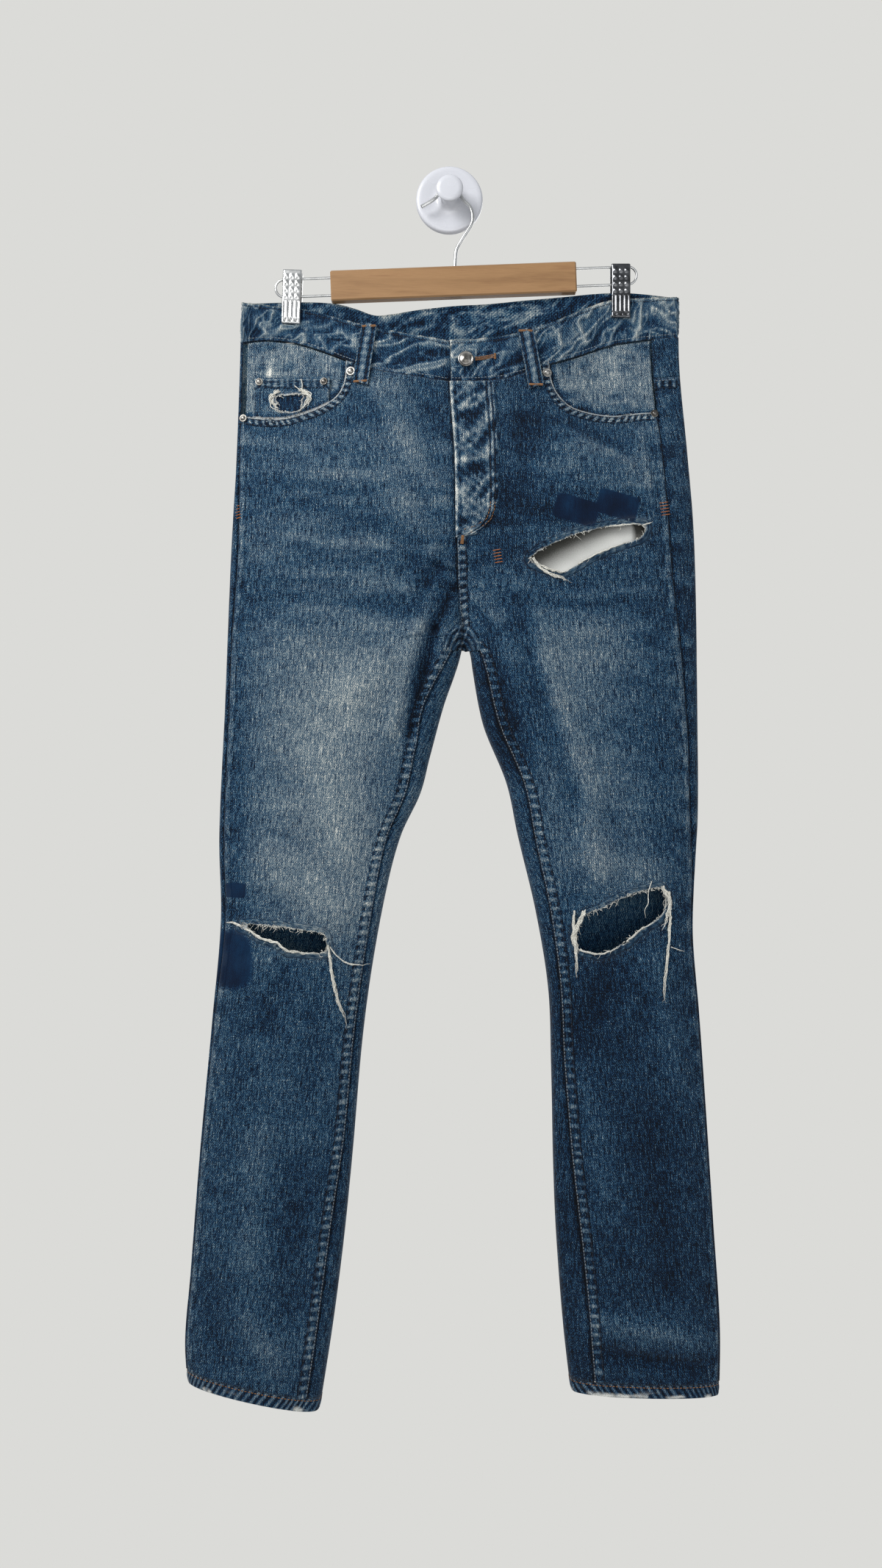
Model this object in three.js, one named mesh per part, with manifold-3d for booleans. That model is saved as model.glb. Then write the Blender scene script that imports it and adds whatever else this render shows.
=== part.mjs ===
// Ripped slim jeans, held by the waistband in the two clips of a wooden bar hanger that hangs from a round
// wall hook. Millimetres. +X is to the right as seen from the front, +Y runs into the wall, +Z is up. The
// origin is the centre of the wall hook's back face. "right" and "left" are the wearer's own: right is at -X.
//
// The jeans are a flattened double skin. Round each leg a turn of 0 is the outer fold, 1 the inner fold and 2
// the outer fold again: 0 to 1 is the front and 1 to 2 the back. Above the crotch the inner fold opens, and a
// turn of 1 is the centre front or the centre back. A drop is a distance below the origin.
import * as THREE from "three";
import { mergeVertices } from "three/addons/utils/BufferGeometryUtils.js";
import Module from "manifold-3d";

const wasm = await Module();
wasm.setup();

// ---------------------------------------------------------------- driving dimensions
const DENIM = 1.2; // one layer of denim
const BAND = 2.3; // the doubled waistband and hems
const COTTON = 1; // pocket bag
const SEAM_GAP = 0.3; // between pieces that meet
const LAYER_GAP = 0.45; // between pieces that lie on each other
const FOLD_RADIUS = 3; // of the side folds, where the clips press them flat
const CROTCH_DROP = 430;
const FORK = 120; // height over which the two legs open into one waist
const FULLNESS = 0.7; // below 1 the faces are flatter in the middle than an ellipse
const HEM_HEIGHT = 12;
const LOOP = { width: 12.5, thick: 1.8, below: 18.5, bulge: 1.6, columns: 2, rows: 6 };
const YOKE = { side: 39, centre: 66 };
const FLY = { width: 40, straight: 118, bottom: 146, foot: 12, aside: 0.6, topGap: 1, columns: 5, rows: 9 };
const BACK_POCKET = { near: 38, far: 172, top: 224, slope: 8, height: 120, point: 18, taper: 10, stand: 0.9,
  columns: 9, rows: 7 };
const COIN = { left: -188, right: -115, top: 180, bottom: 232, columns: 6, rows: 3 };
const BAG = { left: 66, right: 196, top: 238, bottom: 392, inside: 5, rounding: 60, columns: 8, rows: 8 };
const FACING_DROP = 234;
const WAIST = 165; // drop at which the waist seam's places across are taken
const ANKLE = 1160;

// Folds by drop: [drop, x].
const OUTER = {
  right: [[95, -200], [250, -203.5], [355, -209], [496, -214.5], [620, -220], [700, -218.5], [791, -226],
    [914, -237.5], [1037, -247], [1100, -252], [1150, -249]],
  left: [[95, 221], [170, 221.5], [250, 227.5], [345, 234], [500, 236.6], [600, 237], [670, 233], [717, 232],
    [791, 238], [890, 245], [988, 251.4], [1087, 257.7], [1160, 257]],
};
const INNER = {
  right: [[430, 13.6], [446, 11], [462, 6.5], [496, -5.4], [545, -18.8], [580, -28], [619, -46.2],
    [668, -59.6], [742, -73.6], [816, -83.5], [914, -92], [1000, -100.5], [1087, -111.6], [1176, -125.5]],
  left: [[430, 14.4], [446, 19.5], [462, 22], [496, 27.7], [520, 34], [570, 54.4], [619, 65], [693, 82.6],
    [767, 94.5], [841, 97.3], [939, 99.4], [1000, 102], [1087, 108.6], [1160, 117]],
};
const CENTRE = [[95, -1], [190, 1.5], [260, 6], [360, 8], [430, 14]];
// How far the seams stand in from the folds, on the front: [drop, distance].
const OUTSEAM = {
  right: [[95, 2], [230, 2.5], [350, 8], [440, 5.5], [700, 6], [800, 3], [1150, 2]],
  left: [[95, 27], [250, 26], [360, 25], [440, 18], [520, 12], [600, 9.5], [670, 3], [1150, 2]],
};
const INSEAM = {
  right: [[430, 0], [446, 10], [496, 19], [531, 16], [620, 12.4], [700, 9], [800, 8], [900, 8.7],
    [1000, 13.5], [1170, 13.5]],
  left: [[430, 0], [446, 10], [500, 14.5], [580, 16], [665, 14], [800, 10.5], [900, 15.3], [1000, 22.7],
    [1075, 24.6], [1160, 22]],
};
// Depth of the plane between front and back, and how far each stands from it: [drop, distance].
const MIDDLE = [[95, -18], [125, -18], [160, -18.6], [300, -26], [340, -26], [1200, -26]];
const FRONT_REACH = {
  right: [[100, 12], [190, 16], [270, 22], [420, 25], [600, 24], [760, 24], [900, 22], [1170, 25]],
  left: [[100, 12], [190, 16], [270, 22], [420, 25], [600, 24], [760, 23], [900, 20], [1170, 20]],
};
const BACK_REACH = [[100, 9], [190, 12], [300, 19], [1200, 20]];
const CLIP = {
  right: { x: -151.8, z: -102.5, lean: 0.035 },
  left: { x: 164.7, z: -96.8, lean: 0 },
};
const CLIP_SIZE = { width: 18, height: 52, plate: 3.2, clearance: 0.4 };
const PINCH = { spread: 45, from: 135, over: 150 }; // the clips' hold fades across and down
// Edges of the waistband: [x, drop].
const BAND_TOP = {
  front: [[-200, 107.1], [-176, 110.2], [-137, 114.5], [-101, 125.8], [-71, 134.8], [-41, 140.5], [-1, 147.3],
    [32, 145.9], [62, 141], [86, 133.8], [107, 125.2], [131, 114], [155, 105.5], [179, 103.5], [221, 101.7]],
  back: [[-200, 107.1], [-165, 106], [-135, 105.5], [-108, 106.5], [-90, 110.5], [-72, 116], [-54, 114.4],
    [-30, 110.5], [6, 106.6], [39, 104.8], [78, 101.2], [123, 98.4], [156, 96.8], [180, 97.2], [221, 101.7]],
};
const BAND_FOOT = {
  front: [[-200, 145.5], [-176, 143.5], [-146, 147], [-121, 155.5], [-92, 168.5], [-71, 176.4], [-42, 181.5],
    [-1, 187.5], [47, 186], [70, 179.5], [91, 171.6], [121, 161.3], [151, 149.8], [178, 144.7],
    [221, 140.3]],
  back: [[-200, 145.5], [-165, 145], [-135, 145], [-108, 146.5], [-72, 153], [-30, 150.5], [6, 147],
    [78, 141.5], [123, 138.5], [156, 137], [221, 140.3]],
};
// Bottom edge of each hem, a straight line: two points [x, drop].
const HEM = { right: [[-249, 1138], [-126, 1164.5]], left: [[117, 1147.5], [258, 1151]] };

// Front pocket mouths, from the waist seam to the outseam: [x, z].
const POCKET_MOUTH = {
  right: [[-99, -166], [-100.5, -186], [-108, -201], [-126, -212.5], [-158, -222.3], [-184, -221.5],
    [-201, -218]],
  left: [[94.5, -166], [97.3, -187], [105, -202.5], [120, -214], [152, -220], [180, -217.2], [200, -215.5]],
};
// Torn openings, round their edges: [x, z].
const THIGH_TEAR = [[76, -358], [93, -346.4], [107, -340.6], [122, -334.8], [148, -329], [166, -326.8],
  [182, -326.5], [184, -331], [179, -338.7], [163, -344.5], [142, -353.2], [129, -359], [116.5, -366.7],
  [107, -372], [95, -369.6], [80, -363.6]];
const RIGHT_KNEE_TEAR = [[-197, -704], [-183, -702.8], [-169, -703.7], [-146, -706.3], [-120, -710.8],
  [-115.6, -719.2], [-115, -726], [-123, -729.3], [-149, -727.9], [-155, -724.8], [-163, -719.2],
  [-177, -715], [-189, -708]];
const LEFT_KNEE_TEAR = [[128, -693.4], [141, -688.2], [163.5, -676.5], [186, -669.4], [196, -668],
  [202.5, -675], [203, -686], [196.7, -696.8], [175, -710.5], [163.5, -720.2], [145.3, -729.7], [133, -729],
  [120, -724.5], [118.5, -712], [122.5, -701]];
const COIN_TEAR = [[-163.5, -199], [-142, -198], [-141, -205], [-143, -214], [-162, -215.3], [-165, -207]];
// Where loose threads hang from the tears: [x, z] down the middle of each bunch.
const FRAY = {
  fray_knee_right: [[-113, -722], [-112, -750], [-107, -780], [-99, -800]],
  fray_knee_left_inner: [[118, -682], [119, -715], [121, -757]],
  fray_knee_left_outer: [[207, -680], [206, -715], [203, -745], [200, -776]],
  fray_thigh_left: [[78, -357], [88, -371], [106, -378], [120, -392]],
};
const BUNCH = { width: 7, taper: 0.5, thick: 1, rows: 6 }; // of threads
// Largest folds of the cloth: [face, x, z, x, z, width, height], a ridge where the height is above 0.
const CREASES = [
  ["front", -20, -365, 10, -425, 20, -3], ["front", -90, -480, -14, -432, 22, 3],
  ["front", 26, -470, 60, -540, 20, -3], ["front", -170, -640, -110, -690, 24, 2.5],
  ["front", 130, -640, 190, -655, 22, 2.5], ["front", -60, -200, -30, -290, 26, 2.5],
  ["front", 70, -240, 50, -320, 24, -2.5], ["back", -110, -400, -20, -440, 24, 3],
  ["back", 130, -400, 30, -440, 24, 3], ["back", -190, -700, -110, -735, 26, -3],
  ["back", 120, -730, 210, -695, 26, -3], ["back", -150, -520, -40, -480, 24, -2.5],
  ["back", 160, -520, 50, -480, 24, -2.5],
];

const COLUMNS = 12; // of facets across each front and each back
const ROWS = { yoke: 2, seat: 6, leg: 17 }; // of facets from seam to seam

// ---------------------------------------------------------------- the garment's form
const mix = (a, b, q) => a + (b - a) * q;
const clamp01 = (q) => Math.min(1, Math.max(0, q));
const ease = (q) => clamp01(q) ** 2 * (3 - 2 * clamp01(q));
const towards = (side) => (side === "left" ? 1 : -1);

// Smooth value at a key, through a few [key, value] points with rising keys.
function smoothAt(points, key) {
  const last = points.length - 1;
  if (key <= points[0][0]) return points[0][1];
  if (key >= points[last][0]) return points[last][1];
  let i = 0;
  while (points[i + 1][0] < key) i += 1;
  const slope = (j) => {
    const before = points[Math.max(j - 1, 0)];
    const after = points[Math.min(j + 1, last)];
    return (after[1] - before[1]) / (after[0] - before[0]);
  };
  const span = points[i + 1][0] - points[i][0];
  const s = (key - points[i][0]) / span;
  const start = points[i][1] * (1 + 2 * s) * (1 - s) ** 2 + slope(i) * span * s * (1 - s) ** 2;
  const end = points[i + 1][1] * s * s * (3 - 2 * s) - slope(i + 1) * span * s * s * (1 - s);
  return start + end;
}

// 0 below the crotch, where each leg is a tube, and 1 at the waist, where both make one ring.
const openness = (drop) => Math.sin((Math.PI / 2) * clamp01((CROTCH_DROP - drop) / FORK));

const outerX = (side, drop) => smoothAt(OUTER[side], drop);
const innerX = (side, drop) =>
  drop < CROTCH_DROP ? smoothAt(CENTRE, drop) + (towards(side) * SEAM_GAP) / 2 : smoothAt(INNER[side], drop);

// Share of the way from the outer fold to the inner one, for t from 0 to 1 on one face.
const across = (t, drop) =>
  mix((1 - Math.cos(Math.PI * t)) / 2, 1 - Math.cos((Math.PI / 2) * t), openness(drop));

// How free the cloth is of the clips: 0 at a clip and out to the side fold, 1 in the middle and lower down.
function freedom(x, drop) {
  const inside = Math.max(0, Math.min(x - CLIP.right.x, CLIP.left.x - x) - CLIP_SIZE.width / 2);
  return mix(1 - Math.exp(-((inside / PINCH.spread) ** 2)), 1, ease((drop - PINCH.from) / PINCH.over));
}

// Quarter circle of the fold's radius, then level.
const foldEdge = (distance) => FOLD_RADIUS * Math.sqrt(1 - (1 - clamp01(distance / FOLD_RADIUS)) ** 2);

function creaseHeight(face, x, z) {
  let height = 0;
  for (const [side, x0, z0, x1, z1, width, rise] of CREASES) {
    if (side !== face) continue;
    const [dx, dz] = [x1 - x0, z1 - z0];
    const along = clamp01(((x - x0) * dx + (z - z0) * dz) / (dx * dx + dz * dz));
    const distance = Math.hypot(x - x0 - along * dx, z - z0 - along * dz);
    height += rise * Math.exp(-((distance / width) ** 2));
  }
  return height;
}

// A point of the outer skin. face says on which side of the centre seams a turn of 1 lies.
function skin(side, turn, drop, face) {
  const w = openness(drop);
  let around = turn;
  if (w > 0) around = face === "back" ? Math.max(turn, 1) : Math.min(turn, 1);
  around = ((around % 2) + 2) % 2;
  const behind = around > 1 || (around === 1 && face === "back");
  const t = behind ? 2 - around : around;
  const x = mix(outerX(side, drop), innerX(side, drop), across(t, drop));
  const leg = Math.max(0, Math.sin(Math.PI * t)) ** FULLNESS;
  const body = Math.sin((Math.PI / 2) * t) ** FULLNESS;
  const edge = (foldEdge(Math.abs(x - outerX(side, drop)))
    * mix(foldEdge(Math.abs(x - innerX(side, drop))), FOLD_RADIUS, w)) / FOLD_RADIUS;
  const full = smoothAt(behind ? BACK_REACH : FRONT_REACH[side], drop) - FOLD_RADIUS;
  const swell = full * freedom(x, drop) * mix(leg, body, w);
  const crease = creaseHeight(behind ? "back" : "front", x, -drop) * (swell / full) ** 2;
  const away = edge + swell + crease;
  return new THREE.Vector3(x, smoothAt(MIDDLE, drop) + (behind ? away : -away), -drop);
}

// The turn at which a face has a given x, found by halving.
const HALVINGS = 40;
function turnAt(side, x, drop, face) {
  const share = clamp01((x - outerX(side, drop)) / (innerX(side, drop) - outerX(side, drop)));
  let [low, high] = [0, 1];
  for (let i = 0; i < HALVINGS; i += 1) {
    const t = (low + high) / 2;
    if (across(t, drop) < share) low = t;
    else high = t;
  }
  return face === "back" ? 2 - low : low;
}

// A point of the front or back at x and z.
function onBody(x, z, face) {
  const side = x < smoothAt(CENTRE, -z) ? "right" : "left";
  return skin(side, turnAt(side, x, -z, face), -z, face);
}

// ---------------------------------------------------------------- seams
const faceOf = (turn) => (turn > 1 && turn < 2 ? "back" : "front");
const xOf = (side, turn, drop) =>
  mix(outerX(side, drop), innerX(side, drop), across(turn > 2 ? turn - 2 : Math.min(turn, 2 - turn), drop));
const waistTop = (side, turn, face) => smoothAt(BAND_TOP[face], xOf(side, turn, WAIST));
const waistFoot = (side, turn, face) => smoothAt(BAND_FOOT[face], xOf(side, turn, WAIST));

function hemFoot(side, turn) {
  const [[x0, drop0], [x1, drop1]] = HEM[side];
  return mix(drop0, drop1, (xOf(side, turn, ANKLE) - x0) / (x1 - x0));
}

function yokeFoot(side, turn, face) {
  const share = face === "back" && turn < 2 ? across(2 - turn, WAIST) : 0;
  return waistFoot(side, turn, face) + mix(YOKE.side, YOKE.centre, share);
}

const outTurn = (side, drop) =>
  turnAt(side, outerX(side, drop) - towards(side) * smoothAt(OUTSEAM[side], drop), drop, "front");
function inTurn(side, drop) {
  if (drop < CROTCH_DROP) return 1;
  return turnAt(side, innerX(side, drop) + towards(side) * smoothAt(INSEAM[side], drop), drop, "front");
}

// Rows run from the waist seam past the yoke seam and the crotch to the hem seam.
const CROTCH_ROW = ROWS.yoke + ROWS.seat;
const LAST_ROW = CROTCH_ROW + ROWS.leg;
function rowDrop(side, turn, row, face) {
  const yoke = yokeFoot(side, turn, face);
  if (row <= ROWS.yoke) return mix(waistFoot(side, turn, face), yoke, row / ROWS.yoke);
  if (row <= CROTCH_ROW) return mix(yoke, CROTCH_DROP, (row - ROWS.yoke) / ROWS.seat);
  return mix(CROTCH_DROP, hemFoot(side, turn) - HEM_HEIGHT, (row - CROTCH_ROW) / ROWS.leg);
}
const SEAM_TURN = 0.0016; // half a seam gap, as a share of a turn
const INSEAM_TURN = 0.003;
const outerTurn = (side, row) => outTurn(side, rowDrop(side, 0, row, "front"));
function innerTurn(side, row, gaps) {
  return row < CROTCH_ROW ? 1 : inTurn(side, rowDrop(side, 1, row, "front")) + gaps * INSEAM_TURN;
}
// gaps is 1 for a panel, which stops short of its seams, and 0 for a hem or waistband, which crosses them.
const frontTurn = (side, k, row, gaps) =>
  mix(outerTurn(side, row) + gaps * SEAM_TURN, innerTurn(side, row, -gaps), k);
const backTurn = (side, k, row, gaps) =>
  mix(innerTurn(side, row, gaps), 2 + outerTurn(side, row) - gaps * SEAM_TURN, k);

// A turn past 2 has gone round the outer fold on to the front again.
const backFace = (turn) => (turn > 2 ? "front" : "back");
function backPoint(side, k, row, lower) {
  const turn = backTurn(side, k, row, 1);
  const shown = row < CROTCH_ROW ? backFace(turn) : faceOf(turn);
  return skin(side, turn, rowDrop(side, turn, row, shown) + lower, "back");
}

// ---------------------------------------------------------------- solids
function geometryOf(positions, faces) {
  const geometry = new THREE.BufferGeometry();
  geometry.setAttribute("position", new THREE.BufferAttribute(new Float32Array(positions), 3));
  geometry.setIndex(faces);
  return geometry;
}

const PROBE = 1e-3; // step for slopes, as a share of a patch
const SIDE_PROBE = 0.3; // a place across a patch that is on its front or back, never on a fold

// A closed wall over a patch: place(k, m) gives its points for k and m from 0 to 1, and the wall lies from
// low to high along the normal that points out of the garment. A hoop's last column is its first.
function wall(place, columns, rows, low, high, hoop = false) {
  const at = (k, m) => place(hoop ? (k + 1) % 1 : clamp01(k), clamp01(m));
  const normalAt = (k, m) => {
    const along = at(k + PROBE, m).sub(at(k - PROBE, m));
    const down = at(k, m + PROBE).sub(at(k, m - PROBE));
    return along.cross(down).normalize();
  };
  const test = at(SIDE_PROBE, 0.5);
  const outward = Math.sign(normalAt(SIDE_PROBE, 0.5).y * (test.y - smoothAt(MIDDLE, -test.z)));
  const wide = hoop ? columns : columns + 1;
  const number = (i, j, layer) => 2 * (j * wide + (i % wide)) + layer;
  const positions = [];
  for (let j = 0; j <= rows; j += 1) {
    for (let i = 0; i < wide; i += 1) {
      const base = at(i / columns, j / rows);
      const normal = normalAt(i / columns, j / rows).multiplyScalar(outward);
      positions.push(...base.clone().addScaledVector(normal, low), ...base.addScaledVector(normal, high));
    }
  }
  const faces = [];
  const quad = (a, b, c, d) => (outward > 0 ? faces.push(a, b, c, a, c, d) : faces.push(a, c, b, a, d, c));
  for (let j = 0; j < rows; j += 1) {
    for (let i = 0; i < columns; i += 1) {
      quad(number(i, j, 1), number(i + 1, j, 1), number(i + 1, j + 1, 1), number(i, j + 1, 1));
      quad(number(i, j, 0), number(i, j + 1, 0), number(i + 1, j + 1, 0), number(i + 1, j, 0));
    }
    if (hoop) continue;
    quad(number(0, j, 0), number(0, j, 1), number(0, j + 1, 1), number(0, j + 1, 0));
    quad(number(columns, j, 1), number(columns, j, 0), number(columns, j + 1, 0), number(columns, j + 1, 1));
  }
  for (let i = 0; i < columns; i += 1) {
    quad(number(i, 0, 1), number(i, 0, 0), number(i + 1, 0, 0), number(i + 1, 0, 1));
    quad(number(i, rows, 0), number(i, rows, 1), number(i + 1, rows, 1), number(i + 1, rows, 0));
  }
  return geometryOf(positions, faces);
}

function solidOf(geometry) {
  const bare = geometry.clone();
  bare.deleteAttribute("normal");
  bare.deleteAttribute("uv");
  const merged = mergeVertices(bare, 1e-4);
  return new wasm.Manifold(new wasm.Mesh({
    numProp: 3,
    vertProperties: new Float32Array(merged.attributes.position.array),
    triVerts: new Uint32Array(merged.index.array),
  }));
}

// A geometry with tools cut out of it.
function cut(geometry, tools) {
  const mesh = tools.reduce((solid, tool) => solid.subtract(solidOf(tool)), solidOf(geometry)).getMesh();
  return geometryOf(Array.from(mesh.vertProperties), Array.from(mesh.triVerts));
}

const CUT_DEPTH = { from: -90, to: 20 }; // right through a front, which has its own solid

// An upright block on a closed outline in [x, z], for cutting.
function block(outline) {
  const shape = new THREE.Shape(outline.map(([x, z]) => new THREE.Vector2(x, z)));
  const depth = CUT_DEPTH.to - CUT_DEPTH.from;
  return new THREE.ExtrudeGeometry(shape, { depth, bevelEnabled: false })
    .rotateX(Math.PI / 2).translate(0, CUT_DEPTH.to, 0);
}

const splineThrough = (points) => new THREE.SplineCurve(points.map(([x, z]) => new THREE.Vector2(x, z)));

// ---------------------------------------------------------------- materials
function finish(color, roughness, metalness) {
  return new THREE.MeshStandardMaterial({ color, roughness, metalness });
}
const DENIM_BLUE = finish(0x4a6285, 0.9, 0);
const DENIM_DARK = finish(0x2c4263, 0.9, 0);
const COTTON_WHITE = finish(0xe6e2d6, 0.95, 0);
const NICKEL = finish(0x8f9092, 0.35, 1);
const CHROME = finish(0xd5d8dc, 0.12, 1);
const MAPLE = finish(0xc9945f, 0.5, 0);
const GLOSS_WHITE = finish(0xeceef2, 0.3, 0);

const group = new THREE.Group();
function add(name, geometry, material) {
  const mesh = new THREE.Mesh(geometry, material);
  mesh.name = name;
  group.add(mesh);
}

// ---------------------------------------------------------------- cloth pieces
// The edge above which a front is cut away for its pocket mouth.
const MOUTH_STEPS = 14;
const BEYOND = { x: 262, z: -90, down: -262, in: 60 }; // clear of the jeans
const mouthEdge = (side) => splineThrough(POCKET_MOUTH[side]).getPoints(MOUTH_STEPS).map((p) => [p.x, p.y]);
function aboveMouth(side) {
  const edge = mouthEdge(side);
  const far = towards(side) * BEYOND.x;
  return block([...edge, [far, edge.at(-1)[1]], [far, BEYOND.z], [edge[0][0], BEYOND.z]]);
}

function front(side, tears) {
  const place = (k, m) => {
    const row = m * LAST_ROW;
    const turn = frontTurn(side, k, row, 1);
    const ends = SEAM_GAP * (1 - 2 * m);
    return skin(side, turn, rowDrop(side, turn, row, "front") + ends, "front");
  };
  const whole = wall(place, COLUMNS, LAST_ROW, -DENIM, 0);
  return cut(whole, [aboveMouth(side), ...tears.map(block)]);
}

function back(side) {
  const rows = LAST_ROW - ROWS.yoke;
  const place = (k, m) => backPoint(side, k, ROWS.yoke + m * rows, (SEAM_GAP / 2) * (1 - 2 * m));
  return wall(place, COLUMNS, rows, -DENIM, 0);
}

function yoke(side) {
  const place = (k, m) => backPoint(side, k, m * ROWS.yoke, SEAM_GAP * (1 - m) - (SEAM_GAP / 2) * m);
  return wall(place, COLUMNS, ROWS.yoke, -DENIM, 0);
}

// From the left end at the centre front, round the left side and the back, to the right end, which steps in
// and goes on under the left one as the button's underlap.
const UNDERLAP = { reach: 36, columns: 3, inset: 1, step: 0.2 };
function waistband() {
  const lastColumn = 4 * COLUMNS - 1;
  const columns = lastColumn + 2 + UNDERLAP.columns;
  const bandPoint = (side, turn, face, m) => {
    const shown = turn > 2 ? "front" : face;
    return skin(side, turn, mix(waistTop(side, turn, shown), waistFoot(side, turn, shown), m), face);
  };
  const aroundBody = (quarter, m) => {
    if (quarter <= 1) return bandPoint("left", frontTurn("left", 1 - quarter, 0, 0), "front", m);
    if (quarter <= 2) return bandPoint("left", backTurn("left", 2 - quarter, 0, 0), "back", m);
    if (quarter <= 3) return bandPoint("right", backTurn("right", quarter - 2, 0, 0), "back", m);
    return bandPoint("right", frontTurn("right", quarter - 3, 0, 0), "front", m);
  };
  const place = (k, m) => {
    const column = k * columns;
    const past = Math.max(0, column - lastColumn);
    const stretch = past < 1 ? past * (1 - UNDERLAP.step) : 1 - UNDERLAP.step * Math.max(0, 2 - past);
    const under = Math.max(0, past - 2) / UNDERLAP.columns;
    const sunk = (BAND + LAYER_GAP) * ease(past - 1);
    if (under === 0) {
      const point = aroundBody((Math.min(column, lastColumn) + stretch) / COLUMNS, m);
      point.y += sunk;
      return point;
    }
    const x = smoothAt(CENTRE, WAIST) + UNDERLAP.reach * under;
    const inset = UNDERLAP.inset * under;
    const [top, foot] = [smoothAt(BAND_TOP.front, x) + inset, smoothAt(BAND_FOOT.front, x) - inset];
    const point = onBody(x, -mix(top, foot, m), "front");
    point.y += sunk;
    return point;
  };
  return wall(place, columns, 1, -BAND, 0);
}

function hem(side) {
  const place = (k, m) => {
    const half = k * 2;
    const turn = half <= 1 ? frontTurn(side, half, LAST_ROW, 0) : backTurn(side, half - 1, LAST_ROW, 0);
    return skin(side, turn, hemFoot(side, turn) - HEM_HEIGHT * (1 - m), faceOf(turn));
  };
  return wall(place, 2 * COLUMNS, 1, -BAND, 0, true);
}

// The layer under a front that closes its pocket mouth.
const UNDER_FRONT = { high: -DENIM - LAYER_GAP, low: -2 * DENIM - LAYER_GAP };
const FACING = { fromFold: 7, fromSeam: 1, pastMouth: 9, topGap: 1.2, topTurn: 0.3, columns: 8, rows: 4 };
function pocketFacing(side) {
  const place = (k, m) => {
    const rough = mix(waistFoot(side, FACING.topTurn, "front"), FACING_DROP, m);
    const edge = Math.max(FACING.fromFold, smoothAt(OUTSEAM[side], rough) + FACING.fromSeam);
    const outside = outerX(side, rough) - towards(side) * edge;
    const x = mix(outside, POCKET_MOUTH[side][0][0] - towards(side) * FACING.pastMouth, k);
    const drop = mix(smoothAt(BAND_FOOT.front, x) + FACING.topGap, FACING_DROP, m);
    return onBody(x, -drop, "front");
  };
  return wall(place, FACING.columns, FACING.rows, UNDER_FRONT.low, UNDER_FRONT.high);
}

function coinPocket() {
  const place = (k, m) => onBody(mix(COIN.left, COIN.right, k), -mix(COIN.top, COIN.bottom, m), "front");
  const patch = wall(place, COIN.columns, COIN.rows, -DENIM, 0);
  const edge = mouthEdge("right").map(([x, z]) => [x + LAYER_GAP, z + LAYER_GAP]);
  const below = block([...edge, [BEYOND.down, edge.at(-1)[1]], [BEYOND.down, BEYOND.down],
    [-BEYOND.in, BEYOND.down], [-BEYOND.in, edge[0][1]]]);
  return cut(patch, [below, block(COIN_TEAR)]);
}

function pocketBag() {
  const place = (k, m) => {
    const bottom = BAG.bottom - BAG.rounding * (2 * k - 1) ** 6;
    return onBody(mix(BAG.left, BAG.right, k), -mix(BAG.top, bottom, m), "front");
  };
  return wall(place, BAG.columns, BAG.rows, -BAG.inside - COTTON, -BAG.inside);
}

// The button stand behind the left front.
function flyShield() {
  const place = (k, m) => {
    const down = m * FLY.bottom;
    const bend = clamp01((down - FLY.straight) / (FLY.bottom - FLY.straight));
    const width = mix(FLY.foot, FLY.width, Math.sqrt(1 - bend * bend));
    const x = (drop) => smoothAt(CENTRE, drop) + FLY.aside + k * width;
    const top = smoothAt(BAND_FOOT.front, x(WAIST)) + FLY.topGap;
    return onBody(x(top + down), -(top + down), "front");
  };
  return wall(place, FLY.columns, FLY.rows, UNDER_FRONT.low - LAYER_GAP, UNDER_FRONT.high - LAYER_GAP);
}

function backPocket(side) {
  const { near, far, top, slope, height, point, taper, stand, columns, rows } = BACK_POCKET;
  const place = (k, m) => {
    const fromCentre = mix(near, far, k) + taper * m * (0.5 - k);
    const bottom = top + height + point * (1 - Math.abs(2 * k - 1));
    const x = smoothAt(CENTRE, top) + towards(side) * fromCentre;
    return onBody(x, -mix(top + slope * k, bottom, m), "back");
  };
  return wall(place, columns, rows, stand, stand + DENIM);
}

function beltLoop(x, face, lean) {
  const place = (k, m) => {
    const at = x + (k - 0.5) * LOOP.width + (m - 0.5) * lean;
    const top = smoothAt(BAND_TOP[face], at);
    const foot = smoothAt(BAND_FOOT[face], at) + LOOP.below;
    const point = onBody(at, -mix(top, foot, m), face);
    point.y += (face === "front" ? -1 : 1) * LOOP.bulge * Math.sin(Math.PI * m);
    return point;
  };
  return wall(place, LOOP.columns, LOOP.rows, LAYER_GAP, LAYER_GAP + LOOP.thick);
}

// A plain solid where a bunch of threads hangs over the cloth.
function fray(points) {
  const path = splineThrough(points);
  const place = (k, m) => {
    const at = path.getPoint(m);
    return onBody(at.x + (k - 0.5) * BUNCH.width * (1 - BUNCH.taper * m), at.y, "front");
  };
  return wall(place, 1, BUNCH.rows, LAYER_GAP, LAYER_GAP + BUNCH.thick);
}

// ---------------------------------------------------------------- metal trim
// A turned piece from its profile of [radius, height], standing out towards -Y.
const TURNED_SIDES = 12;
const turned = (profile, sides = TURNED_SIDES) =>
  new THREE.LatheGeometry(profile.map(([r, h]) => new THREE.Vector2(r, h)), sides).rotateX(Math.PI);
const RIVET = [[0, 0], [4.4, 0], [4.4, 0.8], [3, 1.3], [1.4, 2], [0, 2.2]];
const BUTTON = [[0, 0], [5.4, 0], [7.4, 1.2], [7.4, 2.6], [5.6, 3.6], [0, 4.1]];
const RIVETS = {
  rivet_right_waist: [-94, -177.5], rivet_right_side: [-197, -221.5],
  rivet_coin_outer: [-182.4, -185.5], rivet_coin_inner: [-120, -186],
  rivet_left_waist: [92.8, -179.5], rivet_left_side: [195.5, -217.5],
};
const BUTTON_PLACE = [15.4, -167.5];
const BUTTON_SIDES = 20;
const SET_REACH = 4; // how far to each side a piece set on the front takes its slope from

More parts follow.
